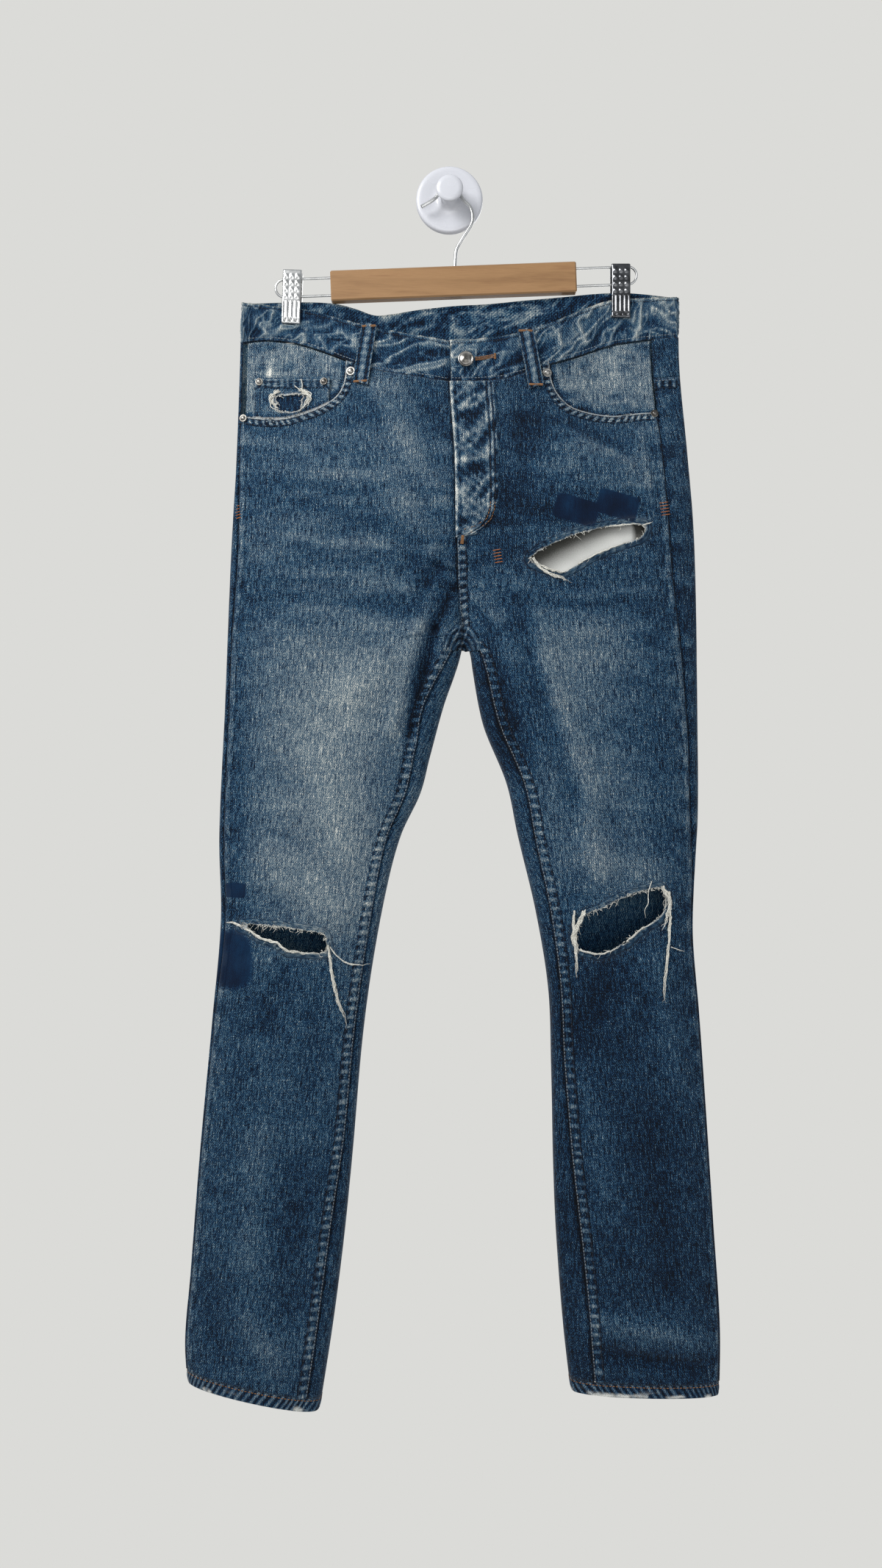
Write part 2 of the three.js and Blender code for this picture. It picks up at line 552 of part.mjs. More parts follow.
// Turned to stand square on the front at x and z.
function setOnFront(geometry, x, z) {
  const level = onBody(x + SET_REACH, z, "front").sub(onBody(x - SET_REACH, z, "front"));
  const up = onBody(x, z + SET_REACH, "front").sub(onBody(x, z - SET_REACH, "front"));
  const normal = level.cross(up).normalize();
  const turn = new THREE.Quaternion().setFromUnitVectors(new THREE.Vector3(0, -1, 0), normal);
  const base = onBody(x, z, "front").addScaledVector(normal, LAYER_GAP);
  return geometry.applyQuaternion(turn).translate(base.x, base.y, base.z);
}

// ---------------------------------------------------------------- wall hook and hanger
const HUB = 8; // radius of the wall hook's peg
const PLATE_SIDES = 36;
const WALL_PLATE = [[0, 0], [32.5, 0], [32.5, 3.4], [30.5, 5.2], [27, 5.6], [20, 4.4], [13, 4.8], [9.5, 7],
  [HUB, 10], [HUB, 22], [9.5, 23.8], [12.6, 25], [13, 26.6], [12, 28], [0, 28.4]];
const HOOK = { wire: 1.75, y: -14, steps: 40 };
const OVER_HUB = HUB + LAYER_GAP + HOOK.wire;
const overHub = [170, 140, 115, 90, 65, 40, 10].map((degrees) => {
  const angle = (degrees * Math.PI) / 180;
  return [OVER_HUB * Math.cos(angle), OVER_HUB * Math.sin(angle)];
});
const HOOK_PATH = [[-27, -12], [-20, -8], [-13.5, -3.4], ...overHub, [13, -5], [19.4, -11.5], [22.4, -20.7],
  [21, -29.5], [11.7, -44.5], [6.5, -55], [5.3, -71.3]];
const BAR = { x: 3.9, z: -86.5, y: -16, length: 237, height: 29.2, thick: 10, edge: 1.2, tilt: 0.0375 };
const ROD = { wire: 1.2, y: -17.6, apart: 8.5, steps: 26, past: 7, shoulder: { x: 0.3, z: 0.72 } };

class Smooth extends THREE.Curve {
  constructor(points) {
    super();
    this.through = new THREE.CatmullRomCurve3(points.map(([x, y, z]) => new THREE.Vector3(x, y, z)));
  }

  getPoint(t, target) {
    return this.through.getPoint(t, target);
  }
}

const WIRE_SIDES = 8;
function wire(points, radius, steps) {
  const circle = Array.from({ length: WIRE_SIDES }, (_, i) => {
    const angle = (2 * Math.PI * i) / WIRE_SIDES;
    return new THREE.Vector2(radius * Math.cos(angle), radius * Math.sin(angle));
  });
  return new THREE.ExtrudeGeometry(new THREE.Shape(circle), { steps, extrudePath: new Smooth(points) });
}

function bar() {
  const [w, h, e] = [BAR.length / 2, BAR.height / 2, BAR.edge];
  const outline = [[-w + e, -h], [w - e, -h], [w, -h + e], [w, h - e], [w - e, h], [-w + e, h], [-w, h - e],
    [-w, -h + e]];
  const depth = BAR.thick - 2 * e;
  const plank = new THREE.ExtrudeGeometry(new THREE.Shape(outline.map(([x, z]) => new THREE.Vector2(x, z))),
    { depth, bevelThickness: e, bevelSize: e, bevelOffset: -e, bevelSegments: 1 });
  plank.rotateX(Math.PI / 2).translate(0, depth / 2, 0);
  return plank.rotateY(-BAR.tilt).translate(BAR.x, BAR.y, BAR.z);
}

// A rod leaves the bar, passes through a clip, bends back and returns to the bar.
function rod(side) {
  const s = towards(side);
  const end = BAR.length / 2 + SEAM_GAP;
  const turnAway = Math.abs(CLIP[side].x - BAR.x) + CLIP_SIZE.width / 2 + ROD.past;
  const bend = ROD.apart;
  const straightEnd = turnAway - bend;
  const [diagonal, shoulder] = [turnAway - ROD.shoulder.x * bend, ROD.shoulder.z * bend];
  const half = [[end, bend], [(end + straightEnd) / 2, bend], [straightEnd, bend], [diagonal, shoulder]];
  const mirrored = half.map(([x, z]) => [x, -z]).reverse();
  const points = [...half, [turnAway, 0], ...mirrored].map(([x, z]) => [s * x, 0, z]);
  return wire(points, ROD.wire, ROD.steps).rotateY(-BAR.tilt).translate(BAR.x, ROD.y, BAR.z);
}

// One jaw of a clip, cut across as [distance out, height], with ribs down its face.
const RIB = { from: 0.12, to: 0.7, valley: 0.85, depth: 0.9 }; // the first three as shares of a rib's pitch
const RIBS = { front: 7, back: 3 };
const SPRING = { radius: 2.6, sides: 12, shorter: 2 };
function jaw(ribs) {
  const { plate, height, width } = CLIP_SIZE;
  const outline = [[0, -height / 2], [0, height / 2]];
  const pitch = height / ribs;
  for (let i = 0; i < ribs; i += 1) {
    const top = height / 2 - i * pitch;
    outline.push([plate, top - RIB.from * pitch], [plate, top - RIB.to * pitch]);
    outline.push([plate - RIB.depth, top - RIB.valley * pitch]);
  }
  const shape = new THREE.Shape(outline.map(([out, up]) => new THREE.Vector2(out, up)));
  // Extruded along +Z from a shape in X and Y: turned so that X is out towards -Y, Y is up and Z runs across.
  const turn = new THREE.Matrix4();
  turn.makeBasis(new THREE.Vector3(0, -1, 0), new THREE.Vector3(0, 0, 1), new THREE.Vector3(-1, 0, 0));
  const extruded = new THREE.ExtrudeGeometry(shape, { depth: width, bevelEnabled: false });
  return extruded.applyMatrix4(turn).translate(width / 2, 0, 0);
}

function addClip(side) {
  const { x, z, lean } = CLIP[side];
  const away = FOLD_RADIUS + CLIP_SIZE.clearance;
  const middle = smoothAt(MIDDLE, -z);
  const set = (geometry, y) => geometry.rotateY(lean).translate(x, y, z);
  add(`clip_${side}_front`, set(jaw(RIBS.front), middle - away), CHROME);
  add(`clip_${side}_back`, set(jaw(RIBS.back).rotateZ(Math.PI), middle + away), CHROME);
  const rodsHeight = BAR.z + (x - BAR.x) * Math.tan(BAR.tilt);
  const length = CLIP_SIZE.width - SPRING.shorter;
  const spring = new THREE.CylinderGeometry(SPRING.radius, SPRING.radius, length, SPRING.sides);
  spring.rotateZ(Math.PI / 2);
  add(`clip_${side}_spring`, set(spring.translate(0, 0, rodsHeight - z), middle), CHROME);
}

// ---------------------------------------------------------------- the whole
add("front_right", front("right", [RIGHT_KNEE_TEAR]), DENIM_BLUE);
add("front_left", front("left", [THIGH_TEAR, LEFT_KNEE_TEAR]), DENIM_BLUE);
for (const side of ["right", "left"]) {
  add(`back_${side}`, back(side), DENIM_BLUE);
  add(`yoke_${side}`, yoke(side), DENIM_BLUE);
  add(`hem_${side}`, hem(side), DENIM_DARK);
  add(`pocket_facing_${side}`, pocketFacing(side), DENIM_BLUE);
  add(`back_pocket_${side}`, backPocket(side), DENIM_BLUE);
}
add("waistband", waistband(), DENIM_DARK);
add("fly_shield", flyShield(), DENIM_DARK);
add("coin_pocket", coinPocket(), DENIM_DARK);
add("pocket_bag_left", pocketBag(), COTTON_WHITE);
add("belt_loop_front_right", beltLoop(-80.5, "front", -8), DENIM_DARK);
add("belt_loop_front_left", beltLoop(77, "front", 10), DENIM_DARK);
add("belt_loop_back_right", beltLoop(-110, "back", -4), DENIM_DARK);
add("belt_loop_back_centre", beltLoop(5, "back", 0), DENIM_DARK);
add("belt_loop_back_left", beltLoop(118, "back", 4), DENIM_DARK);
for (const [name, points] of Object.entries(FRAY)) add(name, fray(points), COTTON_WHITE);
for (const [name, [x, z]] of Object.entries(RIVETS)) add(name, setOnFront(turned(RIVET), x, z), NICKEL);
add("waist_button", setOnFront(turned(BUTTON, BUTTON_SIDES), ...BUTTON_PLACE), NICKEL);
add("wall_plate", turned(WALL_PLATE, PLATE_SIDES), GLOSS_WHITE);
add("hanger_hook", wire(HOOK_PATH.map(([x, z]) => [x, HOOK.y, z]), HOOK.wire, HOOK.steps), CHROME);
add("hanger_bar", bar(), MAPLE);
for (const side of ["right", "left"]) {
  add(`rod_${side}`, rod(side), CHROME);
  addClip(side);
}

export default group;
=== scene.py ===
"""Ripped slim jeans, stone washed, torn at both knees and one thigh, hung by the waistband from the two
clips of a wooden bar hanger on a round wall hook.

Lengths are millimetres until a mesh is made. +X is to the right seen from the front, +Y runs into the
wall and +Z is up. "right" and "left" are the wearer's own, so right is at -X. A drop is a distance below
the origin.

Round each leg a turn of 0 is the outer fold, 1 the inner fold and 2 the outer fold again: 0 to 1 is the
front and 1 to 2 the back. Above the crotch the inner fold opens, and a turn of 1 is the centre front or
the centre back.
"""

import bpy
import numpy as np
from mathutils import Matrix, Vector


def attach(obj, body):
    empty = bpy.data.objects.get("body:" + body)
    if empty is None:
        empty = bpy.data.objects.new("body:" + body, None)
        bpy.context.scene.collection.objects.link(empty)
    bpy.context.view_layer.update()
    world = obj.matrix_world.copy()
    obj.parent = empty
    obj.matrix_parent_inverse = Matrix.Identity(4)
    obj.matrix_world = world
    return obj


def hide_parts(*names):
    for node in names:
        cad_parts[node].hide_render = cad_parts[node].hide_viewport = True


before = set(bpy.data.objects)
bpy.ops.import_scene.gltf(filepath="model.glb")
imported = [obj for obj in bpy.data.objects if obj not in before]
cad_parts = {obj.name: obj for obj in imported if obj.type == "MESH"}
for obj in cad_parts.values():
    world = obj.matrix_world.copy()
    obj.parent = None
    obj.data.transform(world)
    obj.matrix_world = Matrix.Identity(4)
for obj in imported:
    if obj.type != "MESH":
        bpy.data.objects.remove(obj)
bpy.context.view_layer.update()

MM = 0.001

# ---------------------------------------------------------------- camera
LENS = 27.04  # mm, on 36 mm along the longer side
EYE = (-8.2, -1154.0, -570.7)


def add_camera():
    """Level, facing the wall, at the height of the thighs."""
    data = bpy.data.cameras.new("camera")
    data.lens = LENS
    data.sensor_width = 36.0
    camera = bpy.data.objects.new("camera", data)
    camera.location = [v * MM for v in EYE]
    camera.rotation_euler = (np.pi / 2, 0, 0)
    bpy.context.scene.collection.objects.link(camera)
    bpy.context.scene.camera = camera


add_camera()

# ---------------------------------------------------------------- the garment's form
DENIM = 1.2
BAND = 2.3  # the doubled waistband and hems
SEAM_GAP = 0.3
LAYER_GAP = 0.45
FOLD_RADIUS = 3.0
CROTCH_DROP = 430.0
FORK = 120.0  # height over which the legs open into one waist
FULLNESS = 0.7
HEM_HEIGHT = 12.0
WAIST = 165.0
ANKLE = 1160.0
YOKE_SIDE, YOKE_CENTRE = 39.0, 66.0

# Folds by drop: [drop, x].
OUTER = {
    "right": [[95, -200], [250, -203.5], [355, -209], [496, -214.5], [620, -220], [700, -218.5], [791, -226],
        [914, -237.5], [1037, -247], [1100, -252], [1150, -249]],
    "left": [[95, 221], [170, 221.5], [250, 227.5], [345, 234], [500, 236.6], [600, 237], [670, 233],
        [717, 232], [791, 238], [890, 245], [988, 251.4], [1087, 257.7], [1160, 257]],}
INNER = {
    "right": [[430, 13.6], [446, 11], [462, 6.5], [496, -5.4], [545, -18.8], [580, -28], [619, -46.2],
        [668, -59.6], [742, -73.6], [816, -83.5], [914, -92], [1000, -100.5], [1087, -111.6],
        [1176, -125.5]],
    "left": [[430, 14.4], [446, 19.5], [462, 22], [496, 27.7], [520, 34], [570, 54.4], [619, 65], [693, 82.6],
        [767, 94.5], [841, 97.3], [939, 99.4], [1000, 102], [1087, 108.6], [1160, 117]],}
CENTRE = [[95, -1], [190, 1.5], [260, 6], [360, 8], [430, 14]]
# How far the seams stand in from the folds, on the front: [drop, distance].
OUTSEAM = {
    "right": [[95, 2], [230, 2.5], [350, 8], [440, 5.5], [700, 6], [800, 3], [1150, 2]],
    "left": [[95, 27], [250, 26], [360, 25], [440, 18], [520, 12], [600, 9.5], [670, 3], [1150, 2]],}
INSEAM = {
    "right": [[430, 0], [446, 10], [496, 19], [531, 16], [620, 12.4], [700, 9], [800, 8], [900, 8.7],
        [1000, 13.5], [1170, 13.5]],
    "left": [[430, 0], [446, 10], [500, 14.5], [580, 16], [665, 14], [800, 10.5], [900, 15.3], [1000, 22.7],
        [1075, 24.6], [1160, 22]],}
# Depth of the plane between front and back, and how far each stands from it: [drop, distance].
MIDDLE = [[95, -18], [125, -18], [160, -18.6], [300, -26], [340, -26], [1200, -26]]
FRONT_REACH = {
    "right": [[100, 12], [190, 16], [270, 22], [420, 25], [600, 24], [760, 24], [900, 22], [1170, 25]],
    "left": [[100, 12], [190, 16], [270, 22], [420, 25], [600, 24], [760, 23], [900, 20], [1170, 20]],}
BACK_REACH = [[100, 9], [190, 12], [300, 19], [1200, 20]]
CLIP_X = {"right": -151.8, "left": 164.7}
CLIP_HALF = 9.0
PINCH_SPREAD, PINCH_FROM, PINCH_OVER = 45.0, 135.0, 150.0
# Edges of the waistband: [x, drop].
BAND_TOP = {
    "front": [[-200, 107.1], [-176, 110.2], [-137, 114.5], [-101, 125.8], [-71, 134.8], [-41, 140.5],
        [-1, 147.3],
        [32, 145.9], [62, 141], [86, 133.8], [107, 125.2], [131, 114], [155, 105.5], [179, 103.5],
        [221, 101.7]],
    "back": [[-200, 107.1], [-165, 106], [-135, 105.5], [-108, 106.5], [-90, 110.5], [-72, 116], [-54, 114.4],
        [-30, 110.5], [6, 106.6], [39, 104.8], [78, 101.2], [123, 98.4], [156, 96.8], [180, 97.2],
        [221, 101.7]],}
BAND_FOOT = {
    "front": [[-200, 145.5], [-176, 143.5], [-146, 147], [-121, 155.5], [-92, 168.5], [-71, 176.4],
        [-42, 181.5],
        [-1, 187.5], [47, 186], [70, 179.5], [91, 171.6], [121, 161.3], [151, 149.8], [178, 144.7],
        [221, 140.3]],
    "back": [[-200, 145.5], [-165, 145], [-135, 145], [-108, 146.5], [-72, 153], [-30, 150.5], [6, 147],
        [78, 141.5], [123, 138.5], [156, 137], [221, 140.3]],}
# Bottom edge of each hem, a straight line: two points [x, drop].
HEM = {"right": [[-249, 1138], [-126, 1164.5]], "left": [[117, 1147.5], [258, 1151]]}
# Front pocket mouths, from the waist seam to the outseam: [x, z].
POCKET_MOUTH = {
    "right": [[-99, -166], [-100.5, -186], [-108, -201], [-126, -212.5], [-158, -222.3], [-184, -221.5],
        [-201, -218]],
    "left": [[94.5, -166], [97.3, -187], [105, -202.5], [120, -214], [152, -220], [180, -217.2],
        [200, -215.5]],}
# Torn openings, round their edges: [x, z].
THIGH_TEAR = [[76, -358], [93, -346.4], [107, -340.6], [122, -334.8], [148, -329], [166, -326.8],
        [182, -326.5],
        [184, -331], [179, -338.7], [163, -344.5], [142, -353.2], [129, -359], [116.5, -366.7], [107, -372],
        [95, -369.6], [80, -363.6]]
RIGHT_KNEE_TEAR = [[-197, -704], [-183, -702.8], [-169, -703.7], [-146, -706.3], [-120, -710.8],
        [-115.6, -719.2],
        [-115, -726], [-123, -729.3], [-149, -727.9], [-155, -724.8], [-163, -719.2], [-177, -715],
        [-189, -708]]
LEFT_KNEE_TEAR = [[128, -693.4], [141, -688.2], [163.5, -676.5], [186, -669.4], [196, -668], [202.5, -675],
        [203, -686], [196.7, -696.8], [175, -710.5], [163.5, -720.2], [145.3, -729.7], [133, -729],
        [120, -724.5], [118.5, -712], [122.5, -701]]
COIN_TEAR = [[-163.5, -199], [-142, -198], [-141, -205], [-143, -214], [-162, -215.3], [-165, -207]]

# Folds of the cloth: [face, x, z, x, z, width, height], a ridge where the height is above 0.
CREASES = [
    # the largest, which the solids have too
    ["front", -20, -365, 10, -425, 20, -3], ["front", -90, -480, -14, -432, 22, 3],
    ["front", 26, -470, 60, -540, 20, -3], ["front", -170, -640, -110, -690, 24, 2.5],
    ["front", 130, -640, 190, -655, 22, 2.5], ["front", -60, -200, -30, -290, 26, 2.5],
    ["front", 70, -240, 50, -320, 24, -2.5], ["back", -110, -400, -20, -440, 24, 3],
    ["back", 130, -400, 30, -440, 24, 3], ["back", -190, -700, -110, -735, 26, -3],
    ["back", 120, -730, 210, -695, 26, -3], ["back", -150, -520, -40, -480, 24, -2.5],
    ["back", 160, -520, 50, -480, 24, -2.5],
    # right leg, front: fans out from the crotch, and lies in shallow rolls over the thigh
    ["front", -70, -195, -6, -300, 7, 1.2], ["front", -82, -205, -22, -310, 6, -1.1],
    ["front", -52, -190, -2, -262, 5, 1.0], ["front", -38, -196, -4, -240, 4, -0.9],
    ["front", -44, -300, -2, -372, 8, 1.1], ["front", -64, -330, -10, -392, 8, -1.0],
    ["front", -190, -262, -60, -286, 9, 0.9], ["front", -196, -300, -70, -312, 9, -0.8],
    ["front", -180, -340, -60, -352, 10, 0.9], ["front", -150, -392, -30, -404, 10, -0.9],
    ["front", 4, -386, -14, -424, 4.5, -6.0],
    ["front", -18, -357, 3, -365, 2.6, 3.4], ["front", -14, -363.5, 6, -371, 2.4, -3.4],
    ["front", -14, -424, -36, -520, 5, -7.5], ["front", -36, -520, -52, -610, 4, -2.5],
    ["front", -14, -384, -30, -424, 7, 2.6], ["front", -30, -424, -54, -520, 8, 2.8],
    ["front", -2, -352, -26, -392, 5, -1.8], ["front", -14, -346, -40, -388, 6, 1.8],
    ["front", -20, -470, -32, -540, 4, 2.0], ["front", 38, -440, 60, -520, 6, -2.0],
    ["front", 24, -404, 44, -430, 4, -1.8], ["front", 24, -394, 48, -420, 4, 1.8],
    ["front", 24, -366, 52, -398, 5, -1.6], ["front", -120, -545, -96, -640, 14, 1.2],
    ["front", -172, -561, -140, -570, 4, -1.0], ["front", -168, -616, -132, -628, 4, -1.1],
    ["front", -150, -590, -120, -606, 8, 1.0], ["front", -196, -664, -150, -668, 3, 0.7],
    ["front", -120, -648, -84, -660, 9, -0.9], ["front", -150, -745, -170, -800, 14, -2.2],
    ["front", -200, -742, -214, -842, 12, 1.2], ["front", -120, -748, -132, -860, 12, -1.1],
    ["front", -180, -900, -190, -1010, 18, 1.8], ["front", -140, -930, -150, -1060, 16, -1.8],
    ["front", -226, -1040, -214, -1110, 12, -1.8], ["front", -190, -1070, -160, -1120, 10, 1.8],
    # left leg, front: the long soft fold down the inner thigh, and the pull under the pocket
    ["front", 66, -402, 86, -491, 9, -2.0], ["front", 86, -491, 115, -579, 11, -2.2],
    ["front", 115, -579, 122, -650, 13, -1.4], ["front", 82, -412, 101, -491, 9, 1.6],
    ["front", 101, -491, 132, -575, 10, 1.7], ["front", 40, -388, 62, -470, 9, 1.3],
    ["front", 118, -232, 168, -256, 4.5, -2.8], ["front", 122, -242, 172, -268, 5, 2.2],
    ["front", 182, -236, 190, -310, 4, 2.0], ["front", 54, -200, 62, -290, 6, 0.9],
    ["front", 66, -215, 74, -300, 6, -0.8], ["front", 34, -352, 78, -392, 7, 1.0],
    ["front", 110, -396, 190, -388, 6, 0.9], ["front", 150, -600, 166, -655, 8, -1.2],
    ["front", 130, -604, 140, -655, 9, 1.1], ["front", 206, -440, 214, -600, 8, 0.9],
    ["front", 150, -745, 120, -800, 16, -2.4], ["front", 196, -740, 214, -850, 12, 2.0],
    ["front", 130, -860, 150, -980, 16, 1.8], ["front", 190, -900, 204, -1040, 16, -1.8],
    ["front", 140, -1076, 236, -1096, 11, 3.0], ["front", 140, -1106, 236, -1120, 7, -2.8],
    ["front", 128, -1050, 140, -1130, 8, 1.8],
    # the back: under the seat, behind the knees, and long soft folds down the calves
    ["back", -150, -330, -40, -372, 10, -1.5], ["back", -165, -352, -50, -392, 9, 1.4],
    ["back", 170, -330, 60, -372, 10, -1.5], ["back", 185, -352, 70, -392, 9, 1.4],
    ["back", -186, -668, -96, -690, 8, 1.6], ["back", -196, -716, -96, -758, 9, 1.8],
    ["back", -180, -760, -110, -740, 8, -1.4], ["back", 108, -680, 200, -664, 8, 1.6],
    ["back", 112, -748, 214, -716, 9, 1.8], ["back", 124, -735, 190, -756, 8, -1.4],
    ["back", -120, -470, -70, -560, 12, 1.3], ["back", 130, -470, 100, -560, 12, 1.3],
    ["back", -170, -850, -190, -1000, 16, 1.4], ["back", 170, -850, 196, -1000, 16, 1.4],
    ["back", -140, -900, -150, -1060, 14, -1.3], ["back", 140, -900, 152, -1060, 14, -1.3],]


def mix(a, b, q):
    """The value a share q of the way from a to b."""
    return a + (b - a) * q


def bell(distance, width):
    """A smooth bump: 1 at no distance, exp(-1) at its width, and 0 far off."""
    return np.exp(-((distance / width) ** 2))


def ease(q):
    """A share from 0 to 1 that starts and ends level: 3 q^2 - 2 q^3."""
    q = np.clip(q, 0, 1)
    return q * q * (3 - 2 * q)


def towards(side):
    """The sign of x on a side."""
    return 1 if side == "left" else -1


def smooth_at(points, keys):
    """Value at each key on a smooth line through a few [key, value] points: cubic Hermite pieces whose
    slope at a point is the slope between its two neighbours, and level past both ends."""
    key, value = np.array(points, float).T
    places = np.arange(len(key))
    before = np.maximum(places - 1, 0)
    after = np.minimum(places + 1, len(key) - 1)
    slope = (value[after] - value[before]) / (key[after] - key[before])
    at = np.clip(keys, key[0], key[-1])
    i = np.clip(np.searchsorted(key, at) - 1, 0, len(key) - 2)
    span = key[i + 1] - key[i]
    s = (at - key[i]) / span
    start = (value[i] * (1 + 2 * s) + slope[i] * span * s) * (1 - s) ** 2
    end = (value[i + 1] * (3 - 2 * s) - slope[i + 1] * span * (1 - s)) * s * s
    return start + end


def openness(drop):
    """0 below the crotch, where each leg is a tube, and 1 at the waist, where both make one ring."""
    return np.sin(np.pi / 2 * np.clip((CROTCH_DROP - drop) / FORK, 0, 1))


def outer_x(side, drop):
    """x of the outer fold."""
    return smooth_at(OUTER[side], drop)


def inner_x(side, drop):
    """x of the inner fold, or of the centre seam above the crotch."""
    centre = smooth_at(CENTRE, drop) + towards(side) * SEAM_GAP / 2
    return np.where(drop < CROTCH_DROP, centre, smooth_at(INNER[side], drop))


def across(t, drop):
    """Share of the way from the outer fold to the inner one: half a cosine wave on a leg, a quarter on
    the body."""
    return mix((1 - np.cos(np.pi * t)) / 2, 1 - np.cos(np.pi / 2 * t), openness(drop))


def turn_at(side, x, drop, face):
    """The turn at which a face has a given x: across() solved for the cosine of half the turn."""
    share = np.clip((x - outer_x(side, drop)) / (inner_x(side, drop) - outer_x(side, drop)), 0, 1)
    w = openness(drop)
    cosine = 2 * (1 - share) / (w + np.sqrt(w * w + 4 * (1 - w) * (1 - share)) + 1e-12)
    t = 2 / np.pi * np.arccos(np.clip(cosine, 0, 1))
    return 2 - t if face == "back" else t


def freedom(x, drop):
    """0 at a clip and out to the side fold, 1 in the middle and lower down."""
    inside = np.maximum(0, np.minimum(x - CLIP_X["right"], CLIP_X["left"] - x) - CLIP_HALF)
    return mix(1 - bell(inside, PINCH_SPREAD), 1, ease((drop - PINCH_FROM) / PINCH_OVER))


def fold_edge(distance):
    """A quarter circle of the fold's radius, then level."""
    return FOLD_RADIUS * np.sqrt(1 - (1 - np.clip(distance / FOLD_RADIUS, 0, 1)) ** 2)


def crease_height(face, x, z):
    """Sum over the folds of height times exp(-(distance / width)^2), each fading out towards its two ends."""
    total = np.zeros(np.broadcast(x, z).shape)
    for on, x0, z0, x1, z1, width, height in CREASES:
        if on != face:
            continue
        dx, dz = x1 - x0, z1 - z0
        along = np.clip(((x - x0) * dx + (z - z0) * dz) / (dx * dx + dz * dz), 0, 1)
        distance = np.hypot(x - x0 - along * dx, z - z0 - along * dz)
        total += height * bell(distance, width)
    return total


def skin(side, turn, drop, face):
    """Points of the outer skin. face says on which side of the centre seams a turn of 1 lies."""
    turn, drop = np.broadcast_arrays(np.asarray(turn, float), np.asarray(drop, float))
    w = openness(drop)
    held = np.maximum(turn, 1) if face == "back" else np.minimum(turn, 1)
    around = np.where(w > 0, held, turn) % 2
    behind = (around > 1) | ((around == 1) & (face == "back"))
    t = np.where(behind, 2 - around, around)
    outer, inner = outer_x(side, drop), inner_x(side, drop)
    x = mix(outer, inner, across(t, drop))
    leg = np.maximum(0, np.sin(np.pi * t)) ** FULLNESS
    body = np.maximum(0, np.sin(np.pi / 2 * t)) ** FULLNESS
    edge = fold_edge(np.abs(x - outer)) * mix(fold_edge(np.abs(x - inner)), FOLD_RADIUS, w) / FOLD_RADIUS
    reach = np.where(behind, smooth_at(BACK_REACH, drop), smooth_at(FRONT_REACH[side], drop))
    full = reach - FOLD_RADIUS
    swell = full * freedom(x, drop) * mix(leg, body, w)
    creases = np.where(behind, crease_height("back", x, -drop), crease_height("front", x, -drop))
    away = edge + swell + creases * (swell / full) ** 2
    return np.stack([x, smooth_at(MIDDLE, drop) + np.where(behind, away, -away), -drop], -1)


def on_body(x, z, face):
    """Points of the front or back at x and z."""
    x, z = np.broadcast_arrays(np.asarray(x, float), np.asarray(z, float))
    right = skin("right", turn_at("right", x, -z, face), -z, face)
    left = skin("left", turn_at("left", x, -z, face), -z, face)
    return np.where((x < smooth_at(CENTRE, -z))[..., None], right, left)


# ---------------------------------------------------------------- where the seams run
# Rows run from the waist seam, by the yoke and the crotch, to the hem seam.
YOKE_ROW, CROTCH_ROW, LAST_ROW = 2, 8, 25
SEAM_TURN = 0.0016  # half a seam gap, as a share of a turn
INSEAM_TURN = 0.003


def x_of(side, turn, drop):
    """x at a turn. A turn past 2 has gone round the outer fold on to the front."""
    t = np.where(turn > 2, turn - 2, np.minimum(turn, 2 - turn))
    return mix(outer_x(side, drop), inner_x(side, drop), across(t, drop))


def band_edge(table, side, turn, face):
    """The drop of the waistband's edge. A turn past 2 has gone round the outer fold on to the front."""
    x = x_of(side, turn, np.full(np.shape(turn), WAIST))
    if face == "front":
        return smooth_at(table["front"], x)
    return np.where(turn > 2, smooth_at(table["front"], x), smooth_at(table["back"], x))


def hem_foot(side, turn):
    """The drop of a hem's bottom edge, which is straight across."""
    (x0, drop0), (x1, drop1) = HEM[side]
    return mix(drop0, drop1, (x_of(side, turn, np.full(np.shape(turn), ANKLE)) - x0) / (x1 - x0))


def yoke_foot(side, turn, face):
    """The drop of the yoke's lower seam, deepest at the centre back."""
    share = np.zeros(np.shape(turn))
    if face == "back":
        share = np.where(turn < 2, across(np.clip(2 - turn, 0, 1), np.full(np.shape(turn), WAIST)), 0)
    return band_edge(BAND_FOOT, side, turn, face) + mix(YOKE_SIDE, YOKE_CENTRE, share)


def row_drop(side, turn, row, face):
    """The drop of a row: even steps from the waist to the yoke, on to the crotch and on to the hem."""
    waist = band_edge(BAND_FOOT, side, turn, face)
    yoke = yoke_foot(side, turn, face)
    hem = hem_foot(side, turn) - HEM_HEIGHT
    upper = mix(waist, yoke, row / YOKE_ROW)
    seat = mix(yoke, CROTCH_DROP, (row - YOKE_ROW) / (CROTCH_ROW - YOKE_ROW))
    leg = mix(CROTCH_DROP, hem, (row - CROTCH_ROW) / (LAST_ROW - CROTCH_ROW))
    return np.where(row <= YOKE_ROW, upper, np.where(row <= CROTCH_ROW, seat, leg))


def out_turn(side, drop):
    """The turn of the side seam."""
    return turn_at(side, outer_x(side, drop) - towards(side) * smooth_at(OUTSEAM[side], drop), drop, "front")


def in_turn(side, drop):
    """The turn of the inner leg seam, or of the centre front."""
    turn = turn_at(side, inner_x(side, drop) + towards(side) * smooth_at(INSEAM[side], drop), drop, "front")
    return np.where(drop < CROTCH_DROP, 1.0, turn)


def outer_turn(side, row):
    """The turn of the side seam at a row."""
    return out_turn(side, row_drop(side, np.zeros(np.shape(row)), row, "front"))


def inner_turn(side, row, gaps):
    """The turn of the inner seam at a row, moved by a share of the gap."""
    turn = in_turn(side, row_drop(side, np.ones(np.shape(row)), row, "front")) + gaps * INSEAM_TURN
    return np.where(row < CROTCH_ROW, 1.0, turn)


